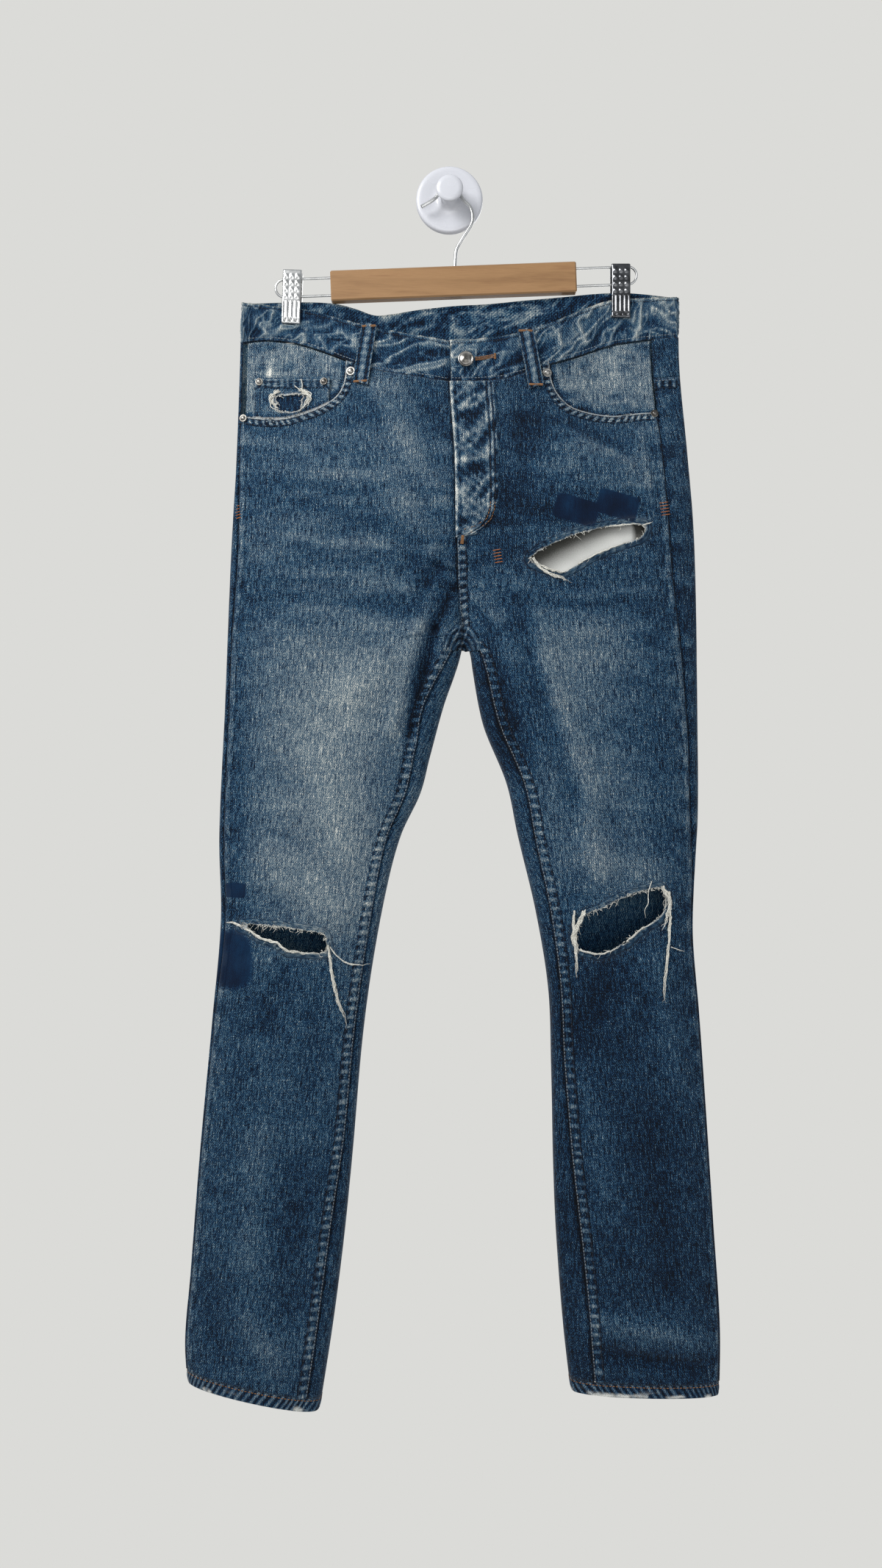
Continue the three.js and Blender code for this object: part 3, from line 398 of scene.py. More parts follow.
def front_turn(side, k, row, gaps):
    """The turn at a share k across a front, from the side seam to the inner one."""
    return mix(outer_turn(side, row) + gaps * SEAM_TURN, inner_turn(side, row, -gaps), k)


def back_turn(side, k, row, gaps):
    """The turn at a share k across a back, from the inner seam to the side one."""
    return mix(inner_turn(side, row, gaps), 2 + outer_turn(side, row) - gaps * SEAM_TURN, k)


# ---------------------------------------------------------------- meshes
def normals_of(points):
    """Unit normals of a grid of points, turned to point out of the garment."""
    normal = np.cross(np.gradient(points, axis=1), np.gradient(points, axis=0))
    normal /= np.linalg.norm(normal, axis=-1, keepdims=True) + 1e-12
    outward = points[..., 1] - smooth_at(MIDDLE, -points[..., 2])
    return normal * (1 if np.sum(normal[..., 1] * outward) > 0 else -1)


def grid_faces(rows, columns, hoop=False):
    """Four corners of each cell of a grid of rows by columns points. A hoop joins its last column to its
    first."""
    j, i = np.meshgrid(np.arange(rows - 1), np.arange(columns - (0 if hoop else 1)), indexing="ij")
    right = (i + 1) % columns
    return np.stack([j * columns + i, j * columns + right, (j + 1) * columns + right, (j + 1) * columns + i],
            -1).reshape(-1, 4)


def new_mesh(name, points, faces, materials, uv=None, fields=None, smooth=True):
    """An object from points in millimetres and faces of one size. fields are point attributes by name."""
    faces = np.asarray(faces)
    count, size = faces.shape
    mesh = bpy.data.meshes.new(name)
    mesh.vertices.add(len(points))
    mesh.vertices.foreach_set("co", (np.asarray(points, float) * MM).ravel())
    mesh.loops.add(count * size)
    mesh.loops.foreach_set("vertex_index", faces.ravel().astype(np.int32))
    mesh.polygons.add(count)
    mesh.polygons.foreach_set("loop_start", np.arange(0, count * size, size, dtype=np.int32))
    mesh.polygons.foreach_set("use_smooth", np.full(count, smooth))
    mesh.update(calc_edges=True)
    if uv is not None:
        layer = mesh.uv_layers.new(name="cloth")
        layer.data.foreach_set("uv", (np.asarray(uv)[faces.ravel()] * MM).ravel())
    for field, values in (fields or {}).items():
        mesh.attributes.new(field, "FLOAT", "POINT").data.foreach_set("value",
                np.asarray(values, float).ravel())
    for material in materials:
        mesh.materials.append(material)
    obj = bpy.data.objects.new(name, mesh)
    bpy.context.scene.collection.objects.link(obj)
    return obj


def facing_out(points, faces):
    """Faces of a grid, turned round where they would point into the garment."""
    a, b, d = (points[faces[:, n]] for n in (0, 1, 3))
    normal = np.cross(b - a, d - a)
    outward = points[faces[:, 0], 1] - smooth_at(MIDDLE, -points[faces[:, 0], 2])
    return faces if np.sum(normal[:, 1] * outward) > 0 else faces[:, ::-1]


def thicken(obj, thickness, inside=1, rim=0):
    """Gives a sheet its thickness, behind the face that shows."""
    solidify = obj.modifiers.new("thickness", "SOLIDIFY")
    solidify.thickness = thickness * MM
    solidify.offset = -1
    solidify.material_offset = inside
    solidify.material_offset_rim = rim


def noise(u, v, cell_u, cell_v, seed):
    """Soft seeded noise from 0 to 1: random values at the corners of cells of cell_u by cell_v, eased
    between."""
    table = np.random.default_rng(seed).random((64, 64))
    a, b = np.asarray(u) / cell_u, np.asarray(v) / cell_v
    i, j = np.floor(a).astype(int), np.floor(b).astype(int)
    p, q = ease(a - i), ease(b - j)
    low = mix(table[i % 64, j % 64], table[(i + 1) % 64, j % 64], p)
    high = mix(table[i % 64, (j + 1) % 64], table[(i + 1) % 64, (j + 1) % 64], p)
    return mix(low, high, q)


# ---------------------------------------------------------------- materials
def srgb(code):
    """A colour as #rrggbb, turned to linear."""
    parts = [int(code[n:n + 2], 16) / 255 for n in (1, 3, 5)]
    return (*(c / 12.92 if c <= 0.04045 else ((c + 0.055) / 1.055) ** 2.4 for c in parts), 1.0)


def node(tree, kind, inputs, out=0, stops=(), **settings):
    """Adds a node and gives one of its outputs. inputs are values or other nodes' outputs by the input's
    name or number, stops are a colour ramp's (position, colour) in order, and settings are the node's
    own properties."""
    new = tree.nodes.new("ShaderNode" + kind)
    for name, value in settings.items():
        setattr(new, name, value)
    for socket, value in inputs.items():
        if isinstance(value, bpy.types.NodeSocket):
            tree.links.new(value, new.inputs[socket])
        else:
            new.inputs[socket].default_value = value
    if stops:
        elements = new.color_ramp.elements
        for element, (position, code) in zip(elements, (stops[0], stops[-1])):
            element.position, element.color = position, srgb(code)
        for position, code in stops[1:-1]:
            elements.new(position).color = srgb(code)
    return new.outputs[out]


def new_material(name, build, **shader):
    """A material: shader holds values of its Principled sockets, with _ for a space, and build(tree)
    gives a dict of what feeds others."""
    material = bpy.data.materials.new(name)
    material.use_nodes = True
    tree = material.node_tree
    principled = tree.nodes["Principled BSDF"]
    for socket, value in shader.items():
        principled.inputs[socket.replace("_", " ")].default_value = value
    for socket, output in build(tree).items():
        tree.links.new(output, principled.inputs[socket])
    return material


INDIGO = [(0.0, "#020812"), (0.12, "#07162b"), (0.24, "#142f4a"), (0.40, "#325066"), (0.52, "#506875"),
        (0.64, "#717f85"), (0.76, "#929a98"), (0.88, "#b6b8b0"), (1.0, "#dcd9cd")]
YARN = 0.75  # mm: warp yarns are 0.55 mm apart, too fine to show, so they are drawn coarser
SLUB = 13.0  # mm, length of a thick place in a warp yarn
TWILL = 1.7  # mm between twill lines; 0.9 on the real cloth, drawn coarser
KEPT_DARK = 0.13  # shade of cloth that was covered while the rest faded


def denim(name, grain=1.0, covered=(), lift=0.0):
    """Indigo cotton twill, stone washed: blue warp over white weft, so it looks blue with pale flecks,
    and paler where wash and wear have rubbed the warp. Woven, so it is matt, with a fine diagonal rib.
    covered are places that kept their dye under something sewn on: [x, z, half width, half height,
    degrees, squareness]."""

    def build(tree):
        uv = node(tree, "UVMap", {}, uv_map="cloth")
        # This attribute holds the cloth's fading, with painted light and shade of the folds and seams in it.
        fade_and_shade = node(tree, "Attribute", {}, 2, attribute_name="fade_and_shade")
        fray = node(tree, "Attribute", {}, 2, attribute_name="fray")
        total = fade_and_shade
        # Each pattern: width and length of its cells in mm, detail, weight.
        for width, length, detail, weight in ((YARN, SLUB, 3.0, 0.85), (YARN, 1.5 * YARN, 2.0, 1.30),
                (2.2, 4.5, 2.0, 0.48), (1.7, 40.0, 3.0, 0.24), (30.0, 50.0, 3.0, 0.11)):
            scaled = node(tree, "Mapping", {0: uv, 3: (1 / (width * MM), 1 / (length * MM), 1)})
            cells = node(tree, "TexNoise", {0: scaled, 2: 1.0, 3: detail}, noise_dimensions="2D")
            centred = node(tree, "Math", {0: cells, 1: 0.5}, operation="SUBTRACT")
            total = node(tree, "Math", {0: centred, 1: weight * grain, 2: total}, operation="MULTIPLY_ADD")
            if detail == 2.0 and width == YARN:
                flecks = cells
        lines = node(tree, "Mapping", {0: uv, 2: (0, 0, np.radians(33)), 3: (1 / (TWILL * MM),) * 3})
        twill = node(tree, "TexWave", {0: lines, 1: 0.314, 2: 1.6, 3: 1.0, 4: 0.9}, 1, bands_direction="X")
        ribbed = node(tree, "Math", {0: twill, 1: 0.17, 2: total}, operation="MULTIPLY_ADD")
        shade = node(tree, "Math", {0: ribbed, 1: 0.13 - lift}, operation="SUBTRACT")
        place = node(tree, "TexCoord", {}, 3)
        for x, z, half_x, half_z, degrees, square in covered:
            inside = node(tree, "Mapping", {0: place, 1: (x * MM, 0, z * MM), 2: (0, np.radians(degrees), 0),
                    3: (half_x * MM, 1, half_z * MM)}, vector_type="TEXTURE")
            axes = tree.nodes.new("ShaderNodeSeparateXYZ")
            tree.links.new(inside, axes.inputs[0])
            powers = [node(tree, "Math", {0: node(tree, "Math", {0: axes.outputs[n]}, operation="ABSOLUTE"),
                    1: square}, operation="POWER") for n in (0, 2)]
            reach = node(tree, "Math", {0: powers[0], 1: powers[1]}, operation="ADD")
            rough = node(tree, "Math", {0: flecks, 1: 0.9, 2: reach}, operation="MULTIPLY_ADD")
            mask = node(tree, "MapRange", {0: rough, 1: 1.75, 2: 1.15, 3: 0.0, 4: 0.92})
            front_only = node(tree, "Math", {0: axes.outputs[1], 1: -0.026}, operation="LESS_THAN")
            mask = node(tree, "Math", {0: mask, 1: front_only}, operation="MULTIPLY")
            dark = node(tree, "Math", {0: centred, 1: 0.3, 2: KEPT_DARK}, operation="MULTIPLY_ADD")
            shade = node(tree, "Mix", {0: mask, 2: shade, 3: dark})
        colour = node(tree, "ValToRGB", {0: shade}, stops=INDIGO)
        blueness = node(tree, "MapRange", {0: fade_and_shade, 1: 0.30, 2: 0.50, 3: 1.08, 4: 0.84})
        colour = node(tree, "HueSaturation", {"Saturation": blueness, "Color": colour})
        tuft = node(tree, "Math", {0: flecks, 1: 1.6, 2: 0.05}, operation="MULTIPLY_ADD")
        tuft = node(tree, "Math", {0: fray, 1: tuft}, operation="MULTIPLY", use_clamp=True)
        colour = node(tree, "Mix", {0: tuft, 6: colour, 7: srgb("#d6d6cf")}, 2, data_type="RGBA")
        height = node(tree, "Math", {0: twill, 1: 0.5, 2: flecks}, operation="MULTIPLY_ADD")
        bump = node(tree, "Bump", {"Height": height, "Strength": 0.5, "Distance": 0.00035})
        return {"Base Color": colour, "Normal": bump}

    return new_material(name, build, Roughness=0.93, Specular_IOR_Level=0.15, Sheen_Weight=0.08,
            Sheen_Roughness=0.5)


def spun_thread(name, pale, dark):
    """Spun cotton or polyester thread: matt, with a slight change of shade along it."""

    def build(tree):
        place = node(tree, "TexCoord", {}, 3)
        shade = node(tree, "TexNoise", {0: place, 2: 900.0, 3: 2.0})
        return {"Base Color": node(tree, "ValToRGB", {0: shade}, stops=[(0.3, dark), (0.7, pale)])}

    return new_material(name, build, Roughness=0.85, Specular_IOR_Level=0.25, Sheen_Weight=0.2)


def plain_cotton():
    """Bleached plain-weave pocket cotton: white, thin and matt, with a fine square weave and soft creases."""

    def build(tree):
        uv = node(tree, "UVMap", {}, uv_map="cloth")
        scaled = node(tree, "Mapping", {0: uv, 3: (1 / (0.9 * MM), 1 / (0.9 * MM), 1)})
        weave = node(tree, "TexNoise", {0: scaled, 2: 1.0, 3: 2.0}, noise_dimensions="2D")
        # The attribute darkens the cotton towards grey; on the pocket bag it carries painted shade.
        fade_and_shade = node(tree, "Attribute", {}, 2, attribute_name="fade_and_shade")
        shade = node(tree, "Math", {0: weave, 1: 0.16, 2: fade_and_shade}, operation="MULTIPLY_ADD")
        return {"Base Color": node(tree, "ValToRGB", {0: shade}, stops=[(0.1, "#3e3e3a"), (0.9, "#deded9")]),
                "Normal": node(tree, "Bump", {"Height": weave, "Strength": 0.4, "Distance": 0.0002})}

    return new_material("bleached plain-weave cotton", build, Roughness=0.9, Specular_IOR_Level=0.2,
            Sheen_Weight=0.1)


def plated(name, bright, dull, roughness, scratch):
    """Plated steel: a mirror with a faint haze, dulled in patches by handling."""

    def build(tree):
        place = node(tree, "TexCoord", {}, 3)
        haze = node(tree, "TexNoise", {0: place, 2: 120.0, 3: 4.0})
        lines = node(tree, "TexNoise", {0: place, 2: 1400.0, 3: 1.0})
        return {"Base Color": node(tree, "ValToRGB", {0: haze}, stops=[(0.35, dull), (0.65, bright)]),
                "Roughness": node(tree, "Math", {0: haze, 1: 0.18, 2: roughness}, operation="MULTIPLY_ADD"),
                "Normal": node(tree, "Bump", {"Height": lines, "Strength": scratch, "Distance": 0.00008})}

    return new_material(name, build, Metallic=1.0)


def varnished_maple():
    """Maple planed and varnished: warm tan with faint long grain, small flecks and a satin coat."""

    def build(tree):
        place = node(tree, "TexCoord", {}, 3)
        along = node(tree, "Mapping", {0: place, 3: (9, 90, 110)})
        bands = node(tree, "TexNoise", {0: along, 2: 1.0, 3: 6.0, "Distortion": 0.6})
        across_grain = node(tree, "Mapping", {0: place, 3: (70, 900, 1100)})
        flecks = node(tree, "TexNoise", {0: across_grain, 2: 1.0, 3: 3.0})
        both = node(tree, "Math", {0: flecks, 1: 0.35, 2: bands}, operation="MULTIPLY_ADD")
        stops = [(0.42, "#7d5936"), (0.62, "#8f6b44"), (0.77, "#98734b"), (0.97, "#855f3b")]
        return {"Base Color": node(tree, "ValToRGB", {0: both}, stops=stops),
                "Normal": node(tree, "Bump", {"Height": flecks, "Strength": 0.15, "Distance": 0.0001})}

    return new_material("varnished maple", build, Roughness=0.42, Coat_Weight=0.25, Coat_Roughness=0.25)


def moulded_plastic():
    """White ABS, moulded glossy: smooth, with a faint unevenness in its shine."""

    def build(tree):
        place = node(tree, "TexCoord", {}, 3)
        wave = node(tree, "TexNoise", {0: place, 2: 60.0, 3: 2.0})
        return {"Roughness": node(tree, "Math", {0: wave, 1: 0.1, 2: 0.22}, operation="MULTIPLY_ADD")}

    return new_material("moulded white plastic", build, Base_Color=srgb("#c8c9ce"), Coat_Weight=0.3,
            Coat_Roughness=0.1)


# Places that kept their dye under a patch or a print since worn off, on each front.
COVERED = {
    "right": [[-202, -671, 10, 7, 0, 8], [-206, -736, 21, 28, -4, 3]],
    "left": [[119, -313, 21, 12, 16, 8], [158, -308, 20, 12, 15, 8]],}
WASHED = {side: denim(f"stone-washed indigo denim, {side} leg", covered=COVERED[side]) for side in COVERED}
DARK = denim("roped indigo denim", grain=0.75)
INSIDE = denim("inside of denim", grain=0.8, lift=0.2)
COTTON = plain_cotton()
WEFT = spun_thread("loose white weft", "#e9e7de", "#b9b6a9")
SEWING = {
    "tan": spun_thread("tan topstitching", "#986c42", "#63452b"),
    "navy": spun_thread("faded navy topstitching", "#172336", "#0a1220"),
    "pale": spun_thread("rubbed topstitching", "#8f989b", "#4d5a68"),
    "orange": spun_thread("orange bar tacks", "#b8713a", "#834a24"),
}
NICKEL = plated("aged nickel plate", "#b9b7b2", "#66635e", 0.2, 0.3)
OLD_NICKEL = plated("blackened nickel plate", "#9a9791", "#35322e", 0.25, 0.4)
CHROME = plated("polished chrome plate", "#e2e2e0", "#c4c4c2", 0.2, 0.1)
# The left clip's chrome: a copy painted darker, as shade.
SHADED_CHROME = plated("chrome plate painted darker as shade", "#707173", "#3f4042", 0.12, 0.15)
MAPLE = varnished_maple()
PLASTIC = moulded_plastic()


# ---------------------------------------------------------------- wear
# Soft pale and dark places: [face, x, z, half width, half height, change of shade].
PATCHES = [["front", -114, -580, 74, 140, 0.16], ["front", -104, -495, 82, 80, 0.13],
    ["front", -90, -650, 50, 60, 0.10],
    # -206, -560: painted shade along the right leg's outer fold
    ["front", -206, -560, 16, 240, -0.10], ["front", -60, -600, 16, 120, -0.05],
    # painted shade of the deep fold beside the crotch
    ["front", -28, -470, 14, 60, -0.16],
    ["front", -150, -780, 60, 40, -0.02], ["front", -200, -830, 20, 60, -0.05],
    ["front", -110, -290, 70, 60, 0.04],
    ["front", -20, -250, 16, 60, -0.07], ["front", -70, -215, 30, 20, -0.05],
    ["front", -150, -245, 50, 10, 0.06],
    ["front", -160, -960, 70, 60, -0.04], ["front", -170, -1100, 70, 26, 0.05],
    ["front", 14, -400, 16, 40, 0.06],
    ["front", 124, -452, 56, 42, 0.14], ["front", 128, -560, 52, 110, 0.13],
    ["front", 150, -500, 30, 40, -0.05],
    # 60, -520: painted shade of the fold beside the crotch
    ["front", 60, -520, 20, 110, -0.08], ["front", 130, -398, 60, 10, -0.08],
    # painted shade along the left leg's outer fold
    ["front", 205, -540, 24, 160, -0.04],
    ["front", 140, -778, 44, 46, -0.07], ["front", 170, -900, 60, 90, -0.03],
    ["front", 190, -1085, 60, 26, 0.08],
    ["front", 128, -256, 60, 26, 0.08], ["front", 134, -306, 56, 20, -0.07],
    ["front", 34, -250, 14, 60, -0.02], ["front", 80, -320, 40, 40, -0.05],
    ["front", 178, -270, 14, 50, 0.06], ["front", 74, -225, 20, 26, -0.09],
    ["front", 160, -650, 40, 30, 0.04],
    ["back", -120, -330, 60, 60, 0.14], ["back", 130, -330, 60, 60, 0.14], ["back", -120, -560, 60, 90, 0.05],
    ["back", 130, -560, 60, 90, 0.05], ["back", -140, -730, 60, 30, -0.06],
    ["back", 150, -730, 60, 30, -0.06],]
SHADE = {"right": [[100, 0.30], [430, 0.31], [700, 0.31], [790, 0.30], [900, 0.30], [1160, 0.25]],
        "left": [[100, 0.28], [430, 0.28], [620, 0.29], [740, 0.23], [900, 0.20], [1160, 0.15]]}


WHISKER = 0.12  # strength of the fine level lines that sitting rubs into the hips


def wear_at(side, face, x, z):
    """Shade of the cloth from 0, deep indigo, to 1, white: a base by drop, the soft patches, and the
    folds, whose ridges are lighter and troughs darker: partly rubbed wear, partly painted light and shade."""
    shade = smooth_at(SHADE[side], -z)
    for on, x0, z0, half_x, half_z, change in PATCHES:
        if on == face:
            shade = shade + change * np.exp(-(((x - x0) / half_x) ** 2 + ((z - z0) / half_z) ** 2))
    fine = noise(x + 0.3 * z, z + 0.09 * x, 60, 8, 301) + 0.7 * noise(x, z - 0.05 * x, 34, 4.5, 302) - 0.85
    hips = bell(z + 320, 120) + 0.3
    # 0.042 times the folds' height: a painted highlight on each ridge and painted shade in each trough, over
    # the wear
    return shade + WHISKER * hips * fine + 0.042 * crease_height(face, x, z)


def inside_of(outline, x, z):
    """Which points lie inside a closed outline, by counting its edges to the right of each."""
    crossings = np.zeros(np.shape(x), bool)
    for (x0, z0), (x1, z1) in zip(outline, np.roll(outline, -1, axis=0)):
        if z0 != z1:
            crossings ^= ((z0 > z) != (z1 > z)) & (x < x0 + (z - z0) * (x1 - x0) / (z1 - z0))
    return crossings


def spline(points, spacing, closed=False):
    """Points every spacing or so along a smooth curve (Catmull-Rom) through a few points of any dimension."""
    p = np.array(points, float)
    p = np.concatenate([p[-1:], p, p[:2]]) if closed else np.concatenate([2 * p[:1] - p[1:2], p,
        2 * p[-1:] - p[-2:-1]])
    curve = []
    for a, b, c, d in zip(p[:-3], p[1:-2], p[2:-1], p[3:]):
        t = np.linspace(0, 1, max(2, int(np.linalg.norm(c - b) / spacing) + 1), endpoint=False)[:, None]
        curve.append(0.5 * (2 * b + (c - a) * t + (2 * a - 5 * b + 4 * c - d) * t ** 2
                + (3 * b - a - 3 * c + d) * t ** 3))
    return np.concatenate(curve if closed else [*curve, p[-2:-1]])


def ragged(outline, seed, depth):
    """A closed curve through an outline, with a torn edge: seeded bites and tags up to depth deep."""
    curve = spline(outline, 0.8, closed=True)
    length = np.cumsum(np.linalg.norm(np.diff(curve, axis=0, append=curve[:1]), axis=1))
    bite = noise(length, 0, 2.2, 1, seed) - 0.5 + 0.6 * (noise(length, 0, 7.0, 1, seed + 1) - 0.5)
    along = np.roll(curve, -1, 0) - np.roll(curve, 1, 0)
    across_edge = np.stack([along[:, 1], -along[:, 0]], 1) / (np.linalg.norm(along, axis=1)[:, None] + 1e-9)
    return curve + across_edge * (2 * depth * bite)[:, None]


def nearest(outline, x, z):
    """Distance to the nearest point of a dense outline, and that point."""
    places = np.stack([x, z], -1)
    best = np.full(len(places), np.inf)
    found = np.zeros(len(places), int)
    for n in range(0, len(outline), 64):
        gap = np.linalg.norm(places[:, None] - outline[None, n:n + 64], axis=2)
        closest = gap.argmin(1)
        closer = gap[np.arange(len(gap)), closest] < best
        best = np.where(closer, gap[np.arange(len(gap)), closest], best)
        found = np.where(closer, n + closest, found)
    return best, outline[found]


# ---------------------------------------------------------------- panels
SPACING = 2.85  # between the rows of a panel's grid
LIP = 0.9  # how far a panel's edge rolls in at a seam


class Panel:
    """A grid of cloth: points, flat places u and v, and shade, as arrays of rows by columns."""

    def __init__(self, points, shade, start=0.5):
        self.points, self.shade = points, shade
        self.normals = normals_of(points)
        steps = np.linalg.norm(np.diff(points, axis=1), axis=2)
        self.u = np.concatenate([np.zeros((len(points), 1)), np.cumsum(steps, 1)], 1)
        self.width = self.u[:, -1]
        self.u = self.u - self.width[:, None] * start
        drops = np.linalg.norm(np.diff(points, axis=0), axis=2)
        self.length = drops.sum(0)
        self.v = -np.concatenate([np.zeros((1, points.shape[1])), np.cumsum(drops, 0)], 0) + points[:1, :, 2]
        self.fray = np.zeros(points.shape[:2])

    def follow_grain(self, line):
        """Counts u from a grain line, given as x by drop, and v by height, so that the weave runs on
        down a leg."""
        x, z = self.points[..., 0], self.points[..., 2]
        own = self.points[..., 1] - smooth_at(MIDDLE, -z)
        off = np.abs(x - smooth_at(line, -z)) + np.where(own * np.sum(own) > 0, 0, 1e3)
        at = np.clip(off.argmin(1), 0, x.shape[1] - 2)[:, None]
        here, after, arc = (np.take_along_axis(a, b, 1) for a, b in ((x, at), (x, at + 1), (self.u, at)))
        short = (smooth_at(line, -np.take_along_axis(z, at, 1)) - here) * np.sign(after - here)
        self.u = self.u - arc - short
        self.v = z

    def raise_by(self, height):
        self.points = self.points + self.normals * np.asarray(height)[..., None]

    def flat(self):
        """Width, length and area of the flat cut of what shows."""
        width, length = self.width.max(), self.length.max()
        return width, length, min(self.cut_area, width * length)

    def build(self, name, materials, holes=(), follow=None):
        """The mesh, with each hole's faces left out and the vertices round it drawn on to its edge.
        follow(x, z) gives the surface there."""
        rows, columns = self.points.shape[:2]
        points = self.points.reshape(-1, 3).copy()
        u, v, shade, fray = (field.ravel().copy() for field in (self.u, self.v, self.shade, self.fray))
        faces = facing_out(points, grid_faces(rows, columns))
        for hole, softness in holes:
            near = np.flatnonzero((points[:, 1] < smooth_at(MIDDLE, -points[:, 2])) & inside_of([
                [hole[:, 0].min() - 12, hole[:, 1].min() - 12],
                [hole[:, 0].max() + 12, hole[:, 1].min() - 12],
                [hole[:, 0].max() + 12, hole[:, 1].max() + 12],
                [hole[:, 0].min() - 12, hole[:, 1].max() + 12]], points[:, 0], points[:, 2]))
            inner = np.zeros(len(points), bool)
            inner[near] = inside_of(hole, points[near, 0], points[near, 2])
            faces = faces[~inner[faces].all(1)]
            gap, edge = nearest(hole, points[near, 0], points[near, 2])
            rim = inner[near] | (gap < 0.35 * SPACING)
            moved = near[rim]
            shift = edge[rim] - points[moved][:, [0, 2]]
            points[moved] = follow(edge[rim][:, 0], edge[rim][:, 1])
            u[moved] += shift[:, 0]
            v[moved] += shift[:, 1]
            fray[near] = np.maximum(fray[near], 0.55 * np.exp(-np.where(rim, 0, gap) / softness))
        across_cell, down_cell = u[faces], v[faces]
        self.cut_area = 0.5 * np.abs(np.sum(across_cell
                * (np.roll(down_cell, -1, 1) - np.roll(down_cell, 1, 1)), 1)).sum()
        used = np.unique(faces)
        faces = np.searchsorted(used, faces)
        return new_mesh(name, points[used], faces, materials, np.stack([u, v], 1)[used],
                {"fade_and_shade": shade[used], "fray": fray[used]})


def rows_between(first, last, millimetres):
    """Rows a SPACING apart over a stretch of cloth."""
    return np.linspace(first, last, int(millimetres / SPACING) + 1)


def even(k, amount=0.25):
    """Grid columns drawn a little together in the middle of a panel, where a turn covers the most cloth."""
    return k + amount * np.sin(2 * np.pi * k) / (2 * np.pi)


GRAIN = {"right": [[95, -105], [430, -108], [1160, -186]], "left": [[95, 122], [430, 124], [1160, 186]]}
FRONT_ROWS = np.concatenate([rows_between(0, YOKE_ROW, 40), rows_between(YOKE_ROW, CROTCH_ROW, 210)[1:],
        rows_between(CROTCH_ROW, LAST_ROW, 720)[1:]])
BACK_ROWS = np.concatenate([rows_between(YOKE_ROW, CROTCH_ROW, 150),
        rows_between(CROTCH_ROW, LAST_ROW, 540)[1:]])
FRONT_COLUMNS, BACK_COLUMNS = 76, 62


def edge_roll(distance):
    """A seam's edge: rolled in by LIP at the seam line, with a low ridge 3 mm in over the turned
    allowance."""
    return -LIP * bell(distance, 1.1) + 0.55 * bell(distance - 3.4, 2.2)


def rope(length, side_seed, pitch=9.0):
    """Roping along a seam, from -1 to 1: puckers about a pitch apart, uneven and seeded."""
    wander = length + 5 * (noise(length, 0, 21, 1, side_seed) - 0.5)
    beat = np.sin(2 * np.pi * wander / pitch) * (0.55 + 0.9 * noise(length, 0, 17, 1, side_seed + 1))
    return np.clip(beat + 0.5 * (noise(length, 0, 5, 1, side_seed + 2) - 0.5), -1, 1)


def front_panel(side):
    """The grid of a front, rolled at its seams and shaded by its wear."""
    row, k = FRONT_ROWS[:, None], np.linspace(0, 1, FRONT_COLUMNS)[None, :]
    turn = front_turn(side, even(k), row, 1)
    ends = SEAM_GAP * (1 - 2 * row / LAST_ROW)
    drop = row_drop(side, turn, row, "front") + ends
    points = skin(side, turn, drop, "front")
    panel = Panel(points, wear_at(side, "front", points[..., 0], points[..., 2]))
    outer, inner = panel.u - panel.u[:, :1], panel.u[:, -1:] - panel.u
    panel.follow_grain(GRAIN[side])
    seed = 11 if side == "right" else 12
    above = openness(drop) > 0
    lift = edge_roll(outer) + np.where(above, 0, edge_roll(inner))
    blotch = rope(-points[..., 2], seed, 33)
    # The dark lines right on the seam edges (0.16 at the side seam, 0.25 at the inner one) are painted shade
    # in the seams' grooves.
    panel.shade += 0.10 * blotch * bell(outer - 6, 5) - 0.16 * bell(outer, 1.2)
    panel.shade += 0.12 * bell(outer - 3, 1.6)
    panel.shade -= np.where(above, 0, 0.25 * bell(inner, 1.6))
    if side == "left":
        lift = lift + np.where(above & (inner < 40), -1.2 * bell(inner, 0.9), 0)
        panel.shade += np.where(above, 0.42 * bell(inner - 0.9, 1.3), 0)
    else:
        lift = lift - np.where(above, 1.2 * (1 - ease(inner / 9)), 0)
        panel.shade -= np.where(above, 0.2 * bell(inner, 3.5), 0)
    panel.raise_by(lift)
    return panel


def front_surface(side):
    """The front's surface at x and z, for the cut edges drawn on to it."""
    return lambda x, z: skin(side, turn_at(side, x, -z, "front"), -z, "front")


def above_mouth(side):
    """The part of a front that is cut away for its pocket mouth, as a closed outline."""
    edge = spline(POCKET_MOUTH[side], 0.8)
    far = towards(side) * 262
    return np.concatenate([edge, [[far, edge[-1, 1]], [far, -90], [edge[0, 0], -90]]])


seams_of = {}  # seams and bands counted with a cloth
marks = {kind: [] for kind in SEWING}  # stitches of each thread


def place(obj, slot, *replaced):
    """A finished piece: it rides with the whole and stands for its solids; its slot is not used."""
    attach(obj, "root")
    if replaced:
        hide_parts(*replaced)


def sew(kind, points, normals, pitch=3.2, length=2.5, radius=0.34):
    """Stitches along a line of points."""
    arc = np.concatenate([[0], np.cumsum(np.linalg.norm(np.diff(points, axis=0), axis=1))])
    middle = (np.arange(int(arc[-1] // pitch)) + 0.5) * pitch
    start, end = (np.stack([np.interp(middle + shift, arc, points[:, n]) for n in range(3)], 1)
            for shift in (-length / 2, length / 2))
    normal = np.stack([np.interp(middle, arc, normals[:, n]) for n in range(3)], 1)
    marks[kind].append((start, end, normal, np.full(len(middle), radius)))


def hang_panel(panel, piece, side, holes=(), follow=None):
    """A front, back or yoke from its grid; its flat cut is worked out but not kept."""
    obj = panel.build(f"{piece}_{side}_cloth", [WASHED[side], INSIDE], holes, follow)
    thicken(obj, DENIM)
    place(obj, "denim_washed", f"{piece}_{side}")
    panel.flat()


